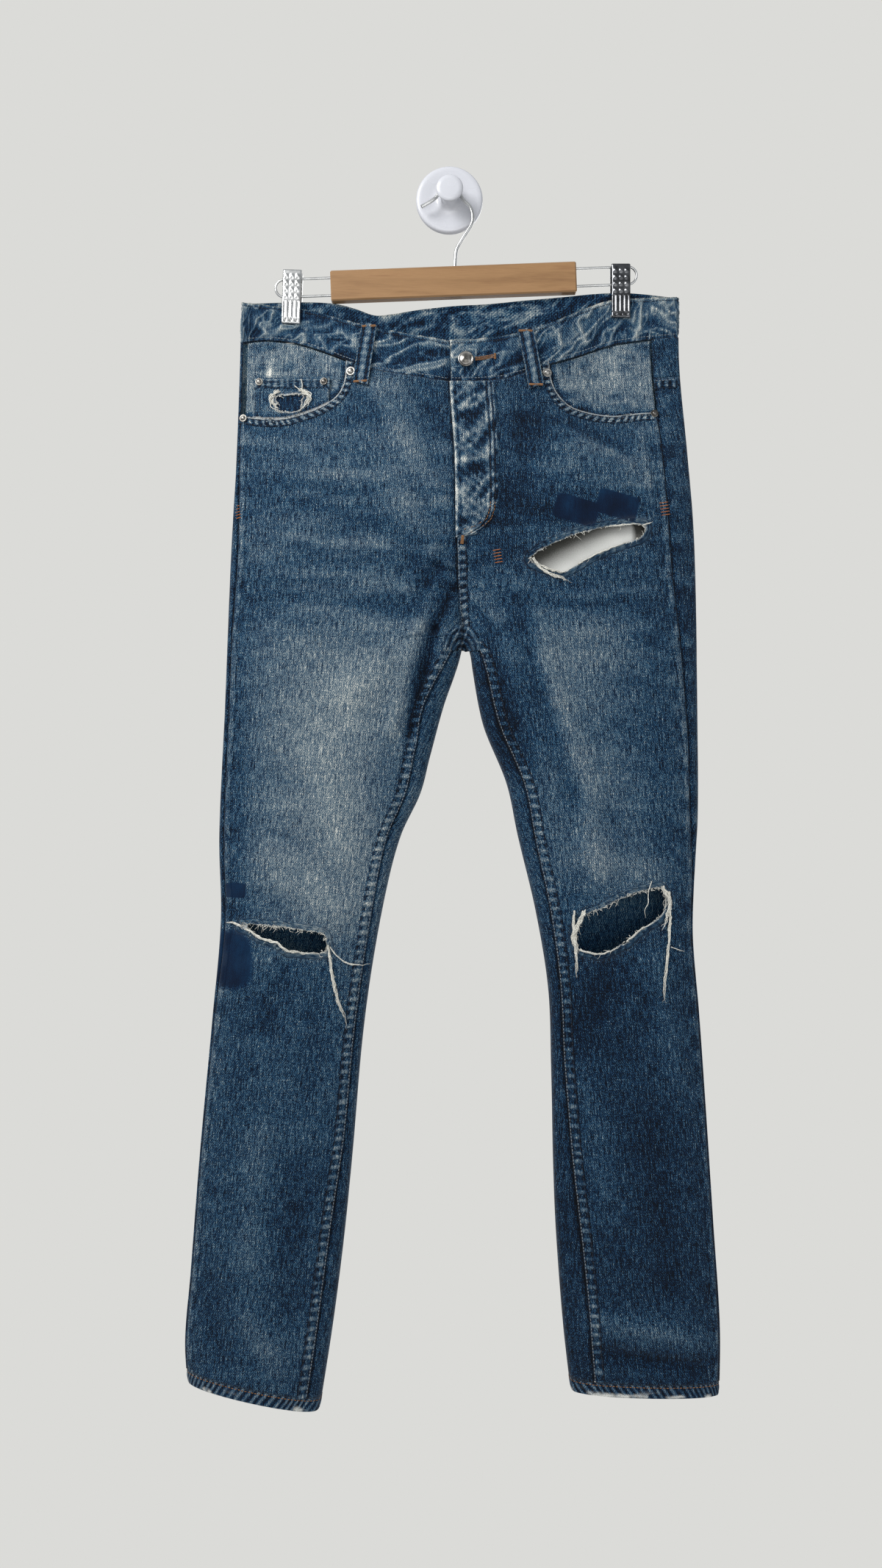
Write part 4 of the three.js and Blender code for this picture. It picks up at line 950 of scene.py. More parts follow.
def add_fronts():
    """The two fronts, with the pocket mouths and the tears cut out."""
    tears = {
        "right": [(ragged(RIGHT_KNEE_TEAR, 3, 0.7), 1.6)],
        "left": [(ragged(THIGH_TEAR, 5, 0.6), 1.6), (ragged(LEFT_KNEE_TEAR, 7, 0.7), 1.6)],}
    for side in ("right", "left"):
        panel = front_panel(side)
        holes = [(above_mouth(side), 0.8), *tears[side]]
        hang_panel(panel, "front", side, holes, front_surface(side))


def back_panel(side, rows, first, last):
    """The grid of a back or a yoke, with its gaps to the seams above and below it."""
    row, k = rows[:, None], np.linspace(0, 1, BACK_COLUMNS)[None, :]
    turn = back_turn(side, even(k), row, 1)
    upper = np.where(turn > 2, row_drop(side, turn, row, "front"), row_drop(side, turn, row, "back"))
    below = np.where((turn > 1) & (turn < 2), row_drop(side, turn, row, "back"),
            row_drop(side, turn, row, "front"))
    share = (row - rows[0]) / (rows[-1] - rows[0])
    drop = np.where(row < CROTCH_ROW, upper, below) + mix(first, -last, share)
    points = skin(side, turn, drop, "back")
    x, z = points[..., 0], points[..., 2]
    on_front = points[..., 1] < smooth_at(MIDDLE, -z)
    shade = np.where(on_front, wear_at(side, "front", x, z) - 0.03, wear_at(side, "back", x, z))
    panel = Panel(points, shade)
    inner, outer = panel.u - panel.u[:, :1], panel.u[:, -1:] - panel.u
    panel.follow_grain(GRAIN[side])
    above = openness(drop) > 0
    panel.shade += 0.10 * rope(-z, 13 if side == "right" else 14, 33) * bell(outer - 6, 5)
    # The dark lines on both seam edges are painted shade in the seams' grooves.
    panel.shade -= 0.20 * bell(inner, 2.0) + 0.16 * bell(outer, 1.2)
    panel.raise_by(edge_roll(outer) + np.where(above, 0, -1.3 * bell(inner, 2.4)))
    return panel


def add_backs():
    """The two backs and the two yokes."""
    for side in ("right", "left"):
        panel = back_panel(side, BACK_ROWS, SEAM_GAP / 2, SEAM_GAP / 2)
        hang_panel(panel, "back", side)
        panel = back_panel(side, rows_between(0, YOKE_ROW, 60), SEAM_GAP, SEAM_GAP / 2)
        hang_panel(panel, "yoke", side)


add_fronts()
add_backs()


# ---------------------------------------------------------------- waistband and hems
def closed_section(at, columns, rows, thickness, hoop, relief, round_by=0.9, back_rows=6):
    """A doubled band as a closed tube of cloth. at(k, m) gives its outer skin for k along and m down,
    and its section runs down the outside, round the lower edge, up the inside and round the upper edge."""
    section = [(m, 0.0) for m in np.linspace(0, 1, rows)]
    section += [(1.0, d) for d in (round_by * 0.35, round_by)] + [(1.0, thickness - round_by * 0.4)]
    section += [(m, thickness) for m in np.linspace(1, 0, back_rows)]
    section += [(0.0, thickness - round_by * 0.4), (0.0, round_by), (0.0, round_by * 0.35)]
    m = np.array([s[0] for s in section])[:, None]
    depth = np.array([s[1] for s in section])[:, None]
    k = np.linspace(0, 1, columns, endpoint=not hoop)[None, :]
    base = at(k, m)
    normal = normals_of(at(k, np.linspace(0, 1, 8)[:, None]))
    normal = normal[np.clip((m[:, 0] * 7).round().astype(int), 0, 7)]
    edge_in = np.where((depth > 0) & (depth < thickness), 0.0, 0.45 * np.isin(m, (0.0, 1.0)))
    height = -depth - edge_in * np.where(depth == 0, 1, -1)
    height = height + np.where(depth < 0.5 * thickness, relief(k, m), 0)
    return base + normal * height[..., None], k, m, depth


def add_closed(name, points, shade, materials, u, v, hoop=False, fray=0.0):
    """The mesh of a closed section: its rows join round, and each open end is drawn in to its own middle."""
    shade, u, v, fray = (field + 0 * points[..., 0] for field in (shade, u, v, fray))
    if not hoop:
        first, last = (points[:, [n]].mean(0, keepdims=True) + 0 * points[:, [n]] for n in (0, -1))
        points = np.concatenate([first, points, last], 1)
        shade, u, v, fray = (np.concatenate([field[:, :1], field, field[:, -1:]], 1)
                for field in (shade, u, v, fray))
    rows, columns = points.shape[:2]
    flat = points.reshape(-1, 3)
    faces = grid_faces(rows + 1, columns, hoop) % (rows * columns)
    shown = faces[: 3 * columns]
    if not np.array_equal(facing_out(flat, shown), shown):
        faces = faces[:, ::-1]
    return new_mesh(name, flat, faces, materials, np.stack([u, v], -1).reshape(-1, 2),
            {"fade_and_shade": shade, "fray": fray})


UNDERLAP_REACH = 36.0
BAND_COLUMNS, UNDERLAP_COLUMNS, BAND_ROWS = 540, 36, 26
BAND_LENGTH = 880.0


def band_point(quarter, m):
    """The waistband's outer skin. quarter runs from 0 at its left end, by 1 at the left fold, 2 at the
    centre back and 3 at the right fold, to 4 at the centre front, and on under the left end as the
    button's underlap."""
    def on(side, turn, face):
        top, foot = band_edge(BAND_TOP, side, turn, face), band_edge(BAND_FOOT, side, turn, face)
        return skin(side, turn, mix(top, foot, m), face)
    row = np.zeros(np.shape(quarter))
    parts = [on("left", front_turn("left", 1 - np.clip(quarter, 0, 1), row, 0), "front"),
            on("left", back_turn("left", 2 - np.clip(quarter, 1, 2), row, 0), "back"),
            on("right", back_turn("right", np.clip(quarter, 2, 3) - 2, row, 0), "back"),
            on("right", front_turn("right", np.clip(quarter, 3, 4) - 3, row, 0), "front")]
    x = smooth_at(CENTRE, WAIST) + UNDERLAP_REACH * np.clip(quarter - 4, 0, 1) + 0 * m
    inset = np.clip(quarter - 4, 0, 1)
    drop = mix(smooth_at(BAND_TOP["front"], x) + inset, smooth_at(BAND_FOOT["front"], x) - inset, m)
    parts.append(on_body(x, -drop, "front"))
    chosen = np.clip(np.floor(quarter), 0, 4).astype(int) + 0 * m.astype(int)
    point = np.choose(chosen[..., None], parts)
    point[..., 1] += (BAND + LAYER_GAP) * ease((quarter - 3.96) / 0.05)
    return point


def add_waistband():
    """The doubled waistband in one piece, crumpled, with its underlap and two rows of stitches."""
    quarter_at = np.concatenate([np.linspace(0, 4, BAND_COLUMNS, endpoint=False),
            np.linspace(4, 5, UNDERLAP_COLUMNS)])
    length = quarter_at * BAND_LENGTH / 4
    deep = 40.0

    def at(k, m):
        return band_point(np.interp(k, np.linspace(0, 1, len(quarter_at)), quarter_at) + 0 * m, m + 0 * k)

    def marble(k, m):
        """Crests of the crumpled band, as thin branching lines, and a softer unevenness between them."""
        u = np.interp(k, np.linspace(0, 1, len(length)), length)
        v = m * deep
        lean = np.where(np.abs(u - BAND_LENGTH / 2) > BAND_LENGTH / 4, 0.55, -0.55)
        along = u - lean * v + 12 * (noise(u, v, 18, 12, 51) - 0.5)
        off = v + lean * u + 9 * (noise(u, v, 15, 9, 52) - 0.5)
        lines = 1 - np.abs(2 * noise(along, off, 26, 9, 53) - 1)
        finer = 1 - np.abs(2 * noise(along, off, 15, 6, 54) - 1)
        return np.maximum(lines ** 5, 0.7 * finer ** 6), noise(u, v, 24, 14, 55), u, v

    def relief(k, m):
        crest, soft, u, v = marble(k, m)
        seam = bell(m - 0.93, 0.03) + bell(m - 0.07, 0.03)
        return 1.9 * (crest - 0.4) + 0.8 * (soft - 0.5) - 0.6 * seam

    points, k, m, depth = closed_section(at, len(quarter_at), BAND_ROWS, BAND - 0.2, False, relief,
            back_rows=18)
    crest, soft, u, v = marble(k, m)
    u, v = u + 0 * m, v + 0 * k
    shade = 0.15 + 0.58 * crest + 0.34 * (soft - 0.5)
    at_side = np.abs((u / BAND_LENGTH * 2) % 1 - 0.5)
    # The dark line at the band's foot is painted shade where the band meets the body.
    shade = shade + 0.08 * bell(at_side, 0.16) - 0.2 * bell(m - 1, 0.03)
    edge_wear = bell(m, 0.035) * (0.4 + 0.5 * noise(u, v, 7, 5, 56))
    end_wear = bell(u, 1.3) * (0.5 + 0.5 * noise(u, v, 5, 6, 57))
    shade = shade + 0.5 * edge_wear + 0.4 * end_wear - 0.12 * bell(m - 0.09, 0.03)
    shade = shade + 0.10 * rope(u, 61, 8) * bell(m - 0.97, 0.05)
    shade = np.where(depth > 1.2, 0.12 + 0.52 * crest + 0.24 * (soft - 0.45) + 0.35 * edge_wear, shade)
    obj = add_closed("waistband_cloth", points, shade, [DARK], u, v - 110)
    place(obj, "denim_dark", "waistband")
    for row, kind in ((2, "navy"), (23, "pale")):
        line = points[row, : BAND_COLUMNS + 1]
        out = normals_of(points[:BAND_ROWS, : BAND_COLUMNS + 1])[row]
        sew(kind, line + 0.25 * out, out)


def add_hems():
    """The two doubled hems, roped and worn white at the foot."""
    for side in ("right", "left"):
        def at(k, m, side=side):
            half = 2 * k + 0 * m
            row = np.full(np.shape(half), float(LAST_ROW))
            turn = np.where(half <= 1, front_turn(side, np.clip(half, 0, 1), row, 0),
                    back_turn(side, np.clip(half - 1, 0, 1), row, 0))
            return skin(side, turn, hem_foot(side, turn) - HEM_HEIGHT * (1 - m), "front")

        seed = 71 if side == "right" else 72
        around = 310.0

        def relief(k, m, seed=seed):
            roped = rope(k * around + 9 * m, seed, 7.5)
            return 0.45 * roped * np.sin(np.pi * np.clip(m, 0, 1)) - 0.5 * bell(m - 0.12, 0.06)

        points, k, m, depth = closed_section(at, 320, 14, BAND, True, relief, back_rows=5)
        u, v = k * around + 0 * m, m * HEM_HEIGHT + 0 * k
        roped = rope(u + 9 * m, seed, 7.5)
        worn = bell(1 - m, 0.3) * ease((noise(u, v, 13, 5, seed + 5) - 0.62) / 0.12) * noise(u, v, 4, 3,
            seed + 6)
        shade = (0.27 if side == "right" else 0.23) + 0.24 * roped + 0.06 * bell(1 - m, 0.2)
        shade = shade + 0.12 * bell(m, 0.08) - 0.1 * bell(m - 0.16, 0.05)
        shade = np.where(depth > 1.2, 0.3, shade)
        obj = add_closed(f"hem_{side}_cloth", points, shade, [DARK], u, v - 1140, True, 1.6 * worn)
        place(obj, "denim_dark", f"hem_{side}")
        out = normals_of(points[:14])
        sew("tan", points[2] + 0.3 * out[2], out[2])


add_waistband()
add_hems()


# ---------------------------------------------------------------- cloth laid on the body
def frame_on(face, x, z, height=0.0):
    """Points that stand off the front or back at x and z, and the normals there, out of the garment."""
    step = 0.8
    normal = np.cross(on_body(x + step, z, face) - on_body(x - step, z, face),
            on_body(x, z + step, face) - on_body(x, z - step, face))
    normal *= (1 if face == "front" else -1) / (np.linalg.norm(normal, axis=-1, keepdims=True) + 1e-9)
    return on_body(x, z, face) + normal * np.asarray(height)[..., None], normal


def lay(name, x, z, height, shade, material, face="front", thickness=0.8, finish="denim_washed", solids=(),
        fray=0.0, holes=(), part_of=None):
    """A piece of cloth over a grid of places on a face, standing off it by height. Gives its points and
    normals. A narrow one is part of a panel, and is counted with it."""
    points, normals = frame_on(face, x, z, height + 0 * x)
    panel = Panel(points, shade + 0 * x)
    panel.fray = panel.fray + fray
    obj = panel.build(name, [material, INSIDE], holes, lambda at_x,
            at_z: frame_on(face, at_x, at_z, np.mean(height))[0])
    thicken(obj, thickness)
    place(obj, finish, *solids)
    if part_of:
        seams_of.setdefault(part_of, []).append(name)
    return points, normals


def sew_on(kind, places, face="front", height=0.2, **size):
    """Stitches along a smooth line of [x, z] on a face."""
    curve = spline(places, 1.0)
    sew(kind, *frame_on(face, curve[:, 0], curve[:, 1], height), **size)


def bar_tack(kind, x, z, degrees, length, width, height=0.5, face="front", pitch=0.62):
    """Close parallel stitches across a short bar."""
    s = np.arange(-length / 2, length / 2, pitch)
    along = np.array([np.cos(np.radians(degrees)), np.sin(np.radians(degrees))])
    across_bar = np.array([-along[1], along[0]]) * width / 2
    middle = np.array([x, z]) + s[:, None] * along
    start, normal = frame_on(face, *(middle - across_bar).T, height)
    end, _ = frame_on(face, *(middle + across_bar).T, height)
    marks[kind].append((start, end, normal, np.full(len(s), 0.34)))


def add_stitches():
    """Each stitch is a short bead: six sides, ends drawn down into the cloth."""
    angle = np.arange(6) * np.pi / 3
    ring = np.arange(6)
    after = (ring + 1) % 6
    beads = np.concatenate([
        np.stack([2 + ring, 2 + after, 8 + after], 1), np.stack([2 + ring, 8 + after, 8 + ring], 1),
        np.stack([0 * ring, 2 + after, 2 + ring], 1), np.stack([0 * ring + 1, 8 + ring, 8 + after], 1)])
    for kind, runs in marks.items():
        start, end, normal, radius = (np.concatenate([run[n] for run in runs]) for n in range(4))
        axis = end - start
        direction = axis / np.linalg.norm(axis, axis=1, keepdims=True)
        sideways = np.cross(normal, direction)
        round_it = (np.cos(angle)[None, :, None] * sideways[:, None]
                + 0.8 * np.sin(angle)[None, :, None] * normal[:, None]) * radius[:, None, None]
        sunk = normal * radius[:, None]
        points = np.concatenate([(start - sunk)[:, None], (end - sunk)[:, None],
                (start + 0.18 * axis)[:, None] + round_it, (end - 0.18 * axis)[:, None] + round_it], 1)
        faces = beads[None] + 14 * np.arange(len(start))[:, None, None]
        obj = new_mesh(f"{kind}_stitches", points.reshape(-1, 3), faces.reshape(-1, 3), [SEWING[kind]])
        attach(obj, "root")


def resampled(curve, count):
    """A curve in even steps, and the length along it at each."""
    arc = np.concatenate([[0], np.cumsum(np.linalg.norm(np.diff(curve, axis=0), axis=1))])
    at = np.linspace(0, arc[-1], count)
    return np.stack([np.interp(at, arc, curve[:, n]) for n in range(curve.shape[1])], 1), at


def strip(name, side, edge, far, seed, face="front", rise=0.85, roping=0.5, pitch=9.0, skew=0.0, tone=0.0,
        contrast=0.26, lines=((0.13, "pale"), (0.85, "navy")), worn_edge=0.0, spacing=1.1, columns=11,
        part_of="", fray=0.0, blend=0.3):
    """A felled seam or turned band between two lines of [x, z]. It puckers: each pucker rises by roping,
    paler on its crest, about a pitch apart. lines are its rows of stitches, as (share of the width,
    thread)."""
    count = int(np.linalg.norm(np.diff(edge, axis=0), axis=1).sum() / spacing)
    edge, arc = resampled(edge, count)
    far, _ = resampled(far, count)
    m = np.linspace(0, 1, columns)[None, :]
    x, z = (mix(edge[:, n:n + 1], far[:, n:n + 1], m) for n in (0, 1))
    crest = np.tanh(1.8 * rope(arc[:, None] + skew * m, seed, pitch))
    bulge = 1 - (2 * m - 1) ** 2
    grooves = sum(bell(m - at, 0.07) for at, _ in lines)
    height = rise * (1 - (2 * m - 1) ** 8) - blend + roping * crest * bulge - 0.3 * grooves
    shade = wear_at(side, face, x, z) + tone + contrast * crest * np.sqrt(bulge) - 0.16 * grooves
    # Dark lines along both edges: painted shade where the seam meets the cloth beside it.
    shade = shade - 0.30 * bell(1 - m, 0.10) - 0.12 * bell(m, 0.05)
    shade = shade + worn_edge * bell(m, 0.14) + 0.10 * (noise(arc[:, None], m * 9, 5, 4, seed + 9) - 0.5)
    if not isinstance(fray, float):
        fray = fray(arc[:, None], m)
    points, normals = lay(name, x, z, height, shade, WASHED[side], face, 0.5, fray=fray, part_of=part_of)
    for at, kind in lines:
        column = int(round(at * (columns - 1)))
        sew(kind, points[:, column] + 0.15 * normals[:, column], normals[:, column])


def beside(curve, distance):
    """The curve a distance to the left of a curve as it runs."""
    along = np.gradient(curve, axis=0)
    along /= np.linalg.norm(along, axis=1, keepdims=True)
    return curve + distance * np.stack([-along[:, 1], along[:, 0]], 1)


FELL = 10.5  # width of a felled seam
CROTCH_STRIP = ([[7.2, -338], [8.2, -375], [9.8, -405], [12.5, -429]],
        [[16.8, -338], [17.6, -375], [19, -405], [20.5, -427]])


def seam_line(side, table, fold, drop, away):
    """Places on the front along a seam, a distance away from it towards the middle of the front."""
    sign = towards(side) * (1 if fold is inner_x else -1)
    return np.stack([fold(side, drop) + sign * (smooth_at(table[side], drop) + away), -drop], 1)


def add_lips():
    """The rolled, rubbed edges of the torn openings."""
    tears = (("thigh", "left", THIGH_TEAR, 5), ("knee_right", "right", RIGHT_KNEE_TEAR, 3),
            ("knee_left", "left", LEFT_KNEE_TEAR, 7))
    for name, side, tear, seed in tears:
        edge = ragged(tear, seed, 0.8)
        edge = np.concatenate([edge, edge[:1]])
        x, z = edge.T
        turning = np.sign(np.sum(x[:-1] * z[1:] - x[1:] * z[:-1]))
        strip(f"torn_edge_{name}", side, edge, beside(edge, -6 * turning), 311 + seed, rise=0.6,
              roping=0.2, pitch=7,
              contrast=0.06, tone=0.04, lines=(), worn_edge=0.24, spacing=0.8, columns=10, blend=0.12,
              part_of=f"front_{side}_cloth",
              fray=lambda arc, m: 0.6 * bell(m, 0.10) * noise(arc, 8 * m, 2.5, 2, 321))


def add_seams():
    """The felled seams, the yoke and seat seams, and the bar tacks on the body."""
    for side in ("right", "left"):
        cloth = f"front_{side}_cloth"
        feet = sorted(HEM[side], key=lambda end: abs(end[0]))
        drop = np.arange(436.0, feet[0][1] - HEM_HEIGHT - 1, 2.0)
        strip(f"inseam_{side}", side, seam_line(side, INSEAM, inner_x, drop, -0.4),
              seam_line(side, INSEAM, inner_x, drop, FELL), 101 if side == "right" else 105, part_of=cloth,
              tone=-0.02)
        drop = np.arange(232.0, feet[1][1] - HEM_HEIGHT - 1, 2.0)
        strip(f"outseam_{side}", side, seam_line(side, OUTSEAM, outer_x, drop, 0.2),
              seam_line(side, OUTSEAM, outer_x, drop, 7.5), 111 if side == "right" else 115, part_of=cloth,
              rise=0.7, roping=0.25, pitch=31, lines=(), tone=0.03, worn_edge=0.0, columns=8, spacing=1.6,
              contrast=0.12)
    strip("crotch_seam", "left", spline(CROTCH_STRIP[0], 2.0), spline(CROTCH_STRIP[1], 2.0), 121, pitch=8,
          part_of="front_left_cloth", worn_edge=0.2)
    for x0, z0, x1, z1, bend in ((20, -437, 33, -447, 3), (24, -447, 36, -457, 3)):
        middle = [(x0 + x1) / 2, (z0 + z1) / 2 + bend]
        sew_on("navy", [[x0, z0], middle, [x1, z1]], height=0.5)
    for x, z, width in ((45, -356, 9), (203, -310, 10), (-201, -312, 6)):
        bar_tack("orange", x, z, 100, 13, width, pitch=2.9)
    wrap = [[197, -183.0], [208, -182.4], [218.5, -181]]
    strip("yoke_seam_wrap", "left", np.array(wrap), np.array(wrap) - [0, 11], 127, part_of="back_left_cloth",
          tone=-0.03, pitch=7)
    waist = smooth_at(CENTRE, WAIST)
    x = np.linspace(-196, 217, 160)
    foot = smooth_at(BAND_FOOT["back"], x) + mix(YOKE_SIDE, YOKE_CENTRE,
            np.clip(1 - np.abs(x - waist) / 205, 0, 1))
    for side in ("right", "left"):
        on = (x < waist - 1) if side == "right" else (x > waist + 1)
        line = np.stack([x[on], -foot[on]], 1)
        strip(f"yoke_seam_{side}", side, line + [0, 0.8], line - [0, 8.5], 131, face="back",
              part_of=f"back_{side}_cloth", tone=-0.02)
    drop = np.arange(152.0, 426.0, 2.0)
    line = np.stack([smooth_at(CENTRE, drop), -drop], 1)
    strip("seat_seam", "left", line - [5, 0], line + [5, 0], 141, face="back", part_of="back_left_cloth")


BUNCH_DEPTH = -29.0  # y of the bunch's turned-in edge


def add_crotch_bunch():
    """The cloth that is drawn under and bunched where the four panels meet: rolls that arch over the
    fork, crossed by the felled seam's two edges."""
    a, r = np.linspace(0, np.pi, 76)[:, None], np.linspace(0, 1, 32)[None, :]
    x = 11.5 + (3 + 15.5 * r) * np.cos(a)
    z = -444.5 + (1 + 24 * r) * np.sin(a)
    rim = on_body(x[:, -1:], z[:, -1:], "front")[..., 1]
    fold = np.sin(2 * np.pi * (3.6 * r + 0.14 * np.sin(3 * a)) + 2.5 * noise(9 * a, 9 * r, 4, 3, 145))
    y = mix(BUNCH_DEPTH, rim, r ** 0.7) - 3.0 * np.sin(np.pi * r) ** 0.7 * np.sin(a)
    y = np.minimum(y, on_body(x, z, "front")[..., 1] - 1.6 + 2.4 * r ** 8) - 0.9 * fold * (1 - r ** 8)
    # Painted light and shade: lighter on the rolls' crests, darker in their troughs and towards the fork,
    # where the cloth turns under.
    shade = 0.27 + 0.17 * fold + 0.14 * (noise(x, z, 5, 5, 146) - 0.5) - 0.2 * (1 - r) ** 2
    for x0, z0, x1, z1 in ((11.5, -419, 2, -441), (19, -420, 10, -443)):
        off = np.abs((x - x0) * (z1 - z0) - (z - z0) * (x1 - x0)) / np.hypot(x1 - x0, z1 - z0)
        y, shade = y - 0.7 * bell(off, 0.9), shade + 0.28 * bell(off, 0.8)
        # darker beside each edge: painted shade
        shade = shade - 0.14 * bell(off - 2, 0.8)
    panel = Panel(np.stack([x, y, z], -1), shade)
    obj = panel.build("crotch_bunch", [WASHED["left"], INSIDE])
    thicken(obj, 0.8)
    place(obj, "denim_washed")
    seams_of.setdefault("front_left_cloth", []).append("crotch_bunch")


# ---------------------------------------------------------------- fly
FLY_TOP, FLY_FOOT = 188.5, 339.4
FLY_EDGE = [[182, 41], [240, 44.5], [295, 45.5], [312, 44.5], [322, 41], [329, 36], [336.5, 24], [339.5, 9]]
FLY_ROWS = (2.4, 6.6)  # stitch rows in from the fly's edge
FLY_BUTTONS = (212, 240, 269, 298)  # hidden buttons, which show as rubbed bumps


def fly_edge(drop):
    """x of the fly's outer edge at a drop."""
    return np.interp(drop, *np.array(FLY_EDGE, float).T)


def add_fly():
    """The fly's facing with its stitch rows and rubbed buttons, the shield behind it and the buttonhole."""
    drop = np.linspace(FLY_TOP, FLY_FOOT, 150)[:, None]
    m = np.linspace(0, 1, 52)[None, :]
    edge = fly_edge(drop)
    start = smooth_at(CENTRE, drop) - 1.7
    x = mix(start, edge + 2.2, m)
    inside = edge - x
    near_centre = x - start
    crest = np.minimum(1 - np.abs(2 * noise(x + 0.7 * drop, drop, 12, 13, 31) - 1), 0.95)
    puckers = rope(drop - 0.8 * x, 33, 9)
    ridge = bell(inside - 4.4, 1.1) + 0.8 * bell(inside - 9.0, 1.4)
    rows = sum(bell(inside - at, 0.8) for at in FLY_ROWS)
    bumps = sum(np.exp(-(((x - 13) / 5.5) ** 2) - ((drop - at) / 7.5) ** 2) for at in FLY_BUTTONS)
    height = 0.15 + 0.95 * ease((inside + 2) / 4) + 0.5 * ridge * (0.85 + 0.15 * puckers) - 0.45 * rows
    height = height + 0.8 * (crest - 0.55) + 1.5 * bumps + 0.5 * puckers * bell(inside - 14, 8)
    height = height - 1.2 * bell(near_centre, 0.7) - 0.5 * bell(near_centre - 5.5, 1.3)
    shade = 0.31 + 0.62 * (crest - 0.62) + 0.24 * ridge - 0.34 * rows + 0.30 * bumps + 0.08 * puckers
    shade = shade + 0.42 * bell(near_centre - 1.1, 1.2) - 0.16 * bell(near_centre - 5, 1.4)
    shade = np.where(inside < 0, wear_at("left", "front", x, -drop), shade)
    lay("fly_placket", x, -drop, height, shade, WASHED["left"], thickness=0.9)
    for at in FLY_ROWS:
        line = np.array([[fly_edge(d) - at, -d] for d in np.linspace(FLY_TOP + 2, 322, 40)]
                + [[34 - 0.7 * at, -329 + 0.6 * at], [24 - 0.3 * at, -336 + at], [11, -339 + at]])
        sew_on("navy", line[:34], height=1.0)
        sew_on("tan", line[34:], height=1.1, length=2.8)
    bar_tack("tan", 12.0, -341, 84, 8, 3.6, height=1.1)
    band_line = BAND_FOOT["front"]
    k, m = np.linspace(0, 1, 20)[None, :], np.linspace(0, 1, 60)[:, None]
    bend = np.clip((m * 146 - 118) / 28, 0, 1)
    width = mix(12, 40, np.sqrt(1 - bend * bend))
    top = smooth_at(band_line, smooth_at(CENTRE, WAIST)) + 1
    x = smooth_at(CENTRE, top + m * 146) + 0.6 + k * width
    lay("fly_shield_cloth", x, -(top + m * 146) + 0 * k, -2.3, 0.3, DARK, thickness=1.0, finish="denim_dark",
        solids=("fly_shield",))
    for gap in (-1.5, -0.5, 0.5, 1.5):
        sew_on("tan", [[24, -166.3 + gap], [33, -165.3 + gap], [42, -163.5 + gap]], height=0.5, pitch=1.3,
               length=1.5)
    bar_tack("tan", 43.2, -163.6, 90, 5, 2.6)


# ---------------------------------------------------------------- front pockets
COIN = {"left": -188, "right": -115, "top": 181, "bottom": 232}


# The left pocket bag: its edges across, its top and foot by drop, and how far its lower corners rise.
BAG = {"inner": 66, "outer": 196, "top": 238, "foot": 392, "corner": 60}


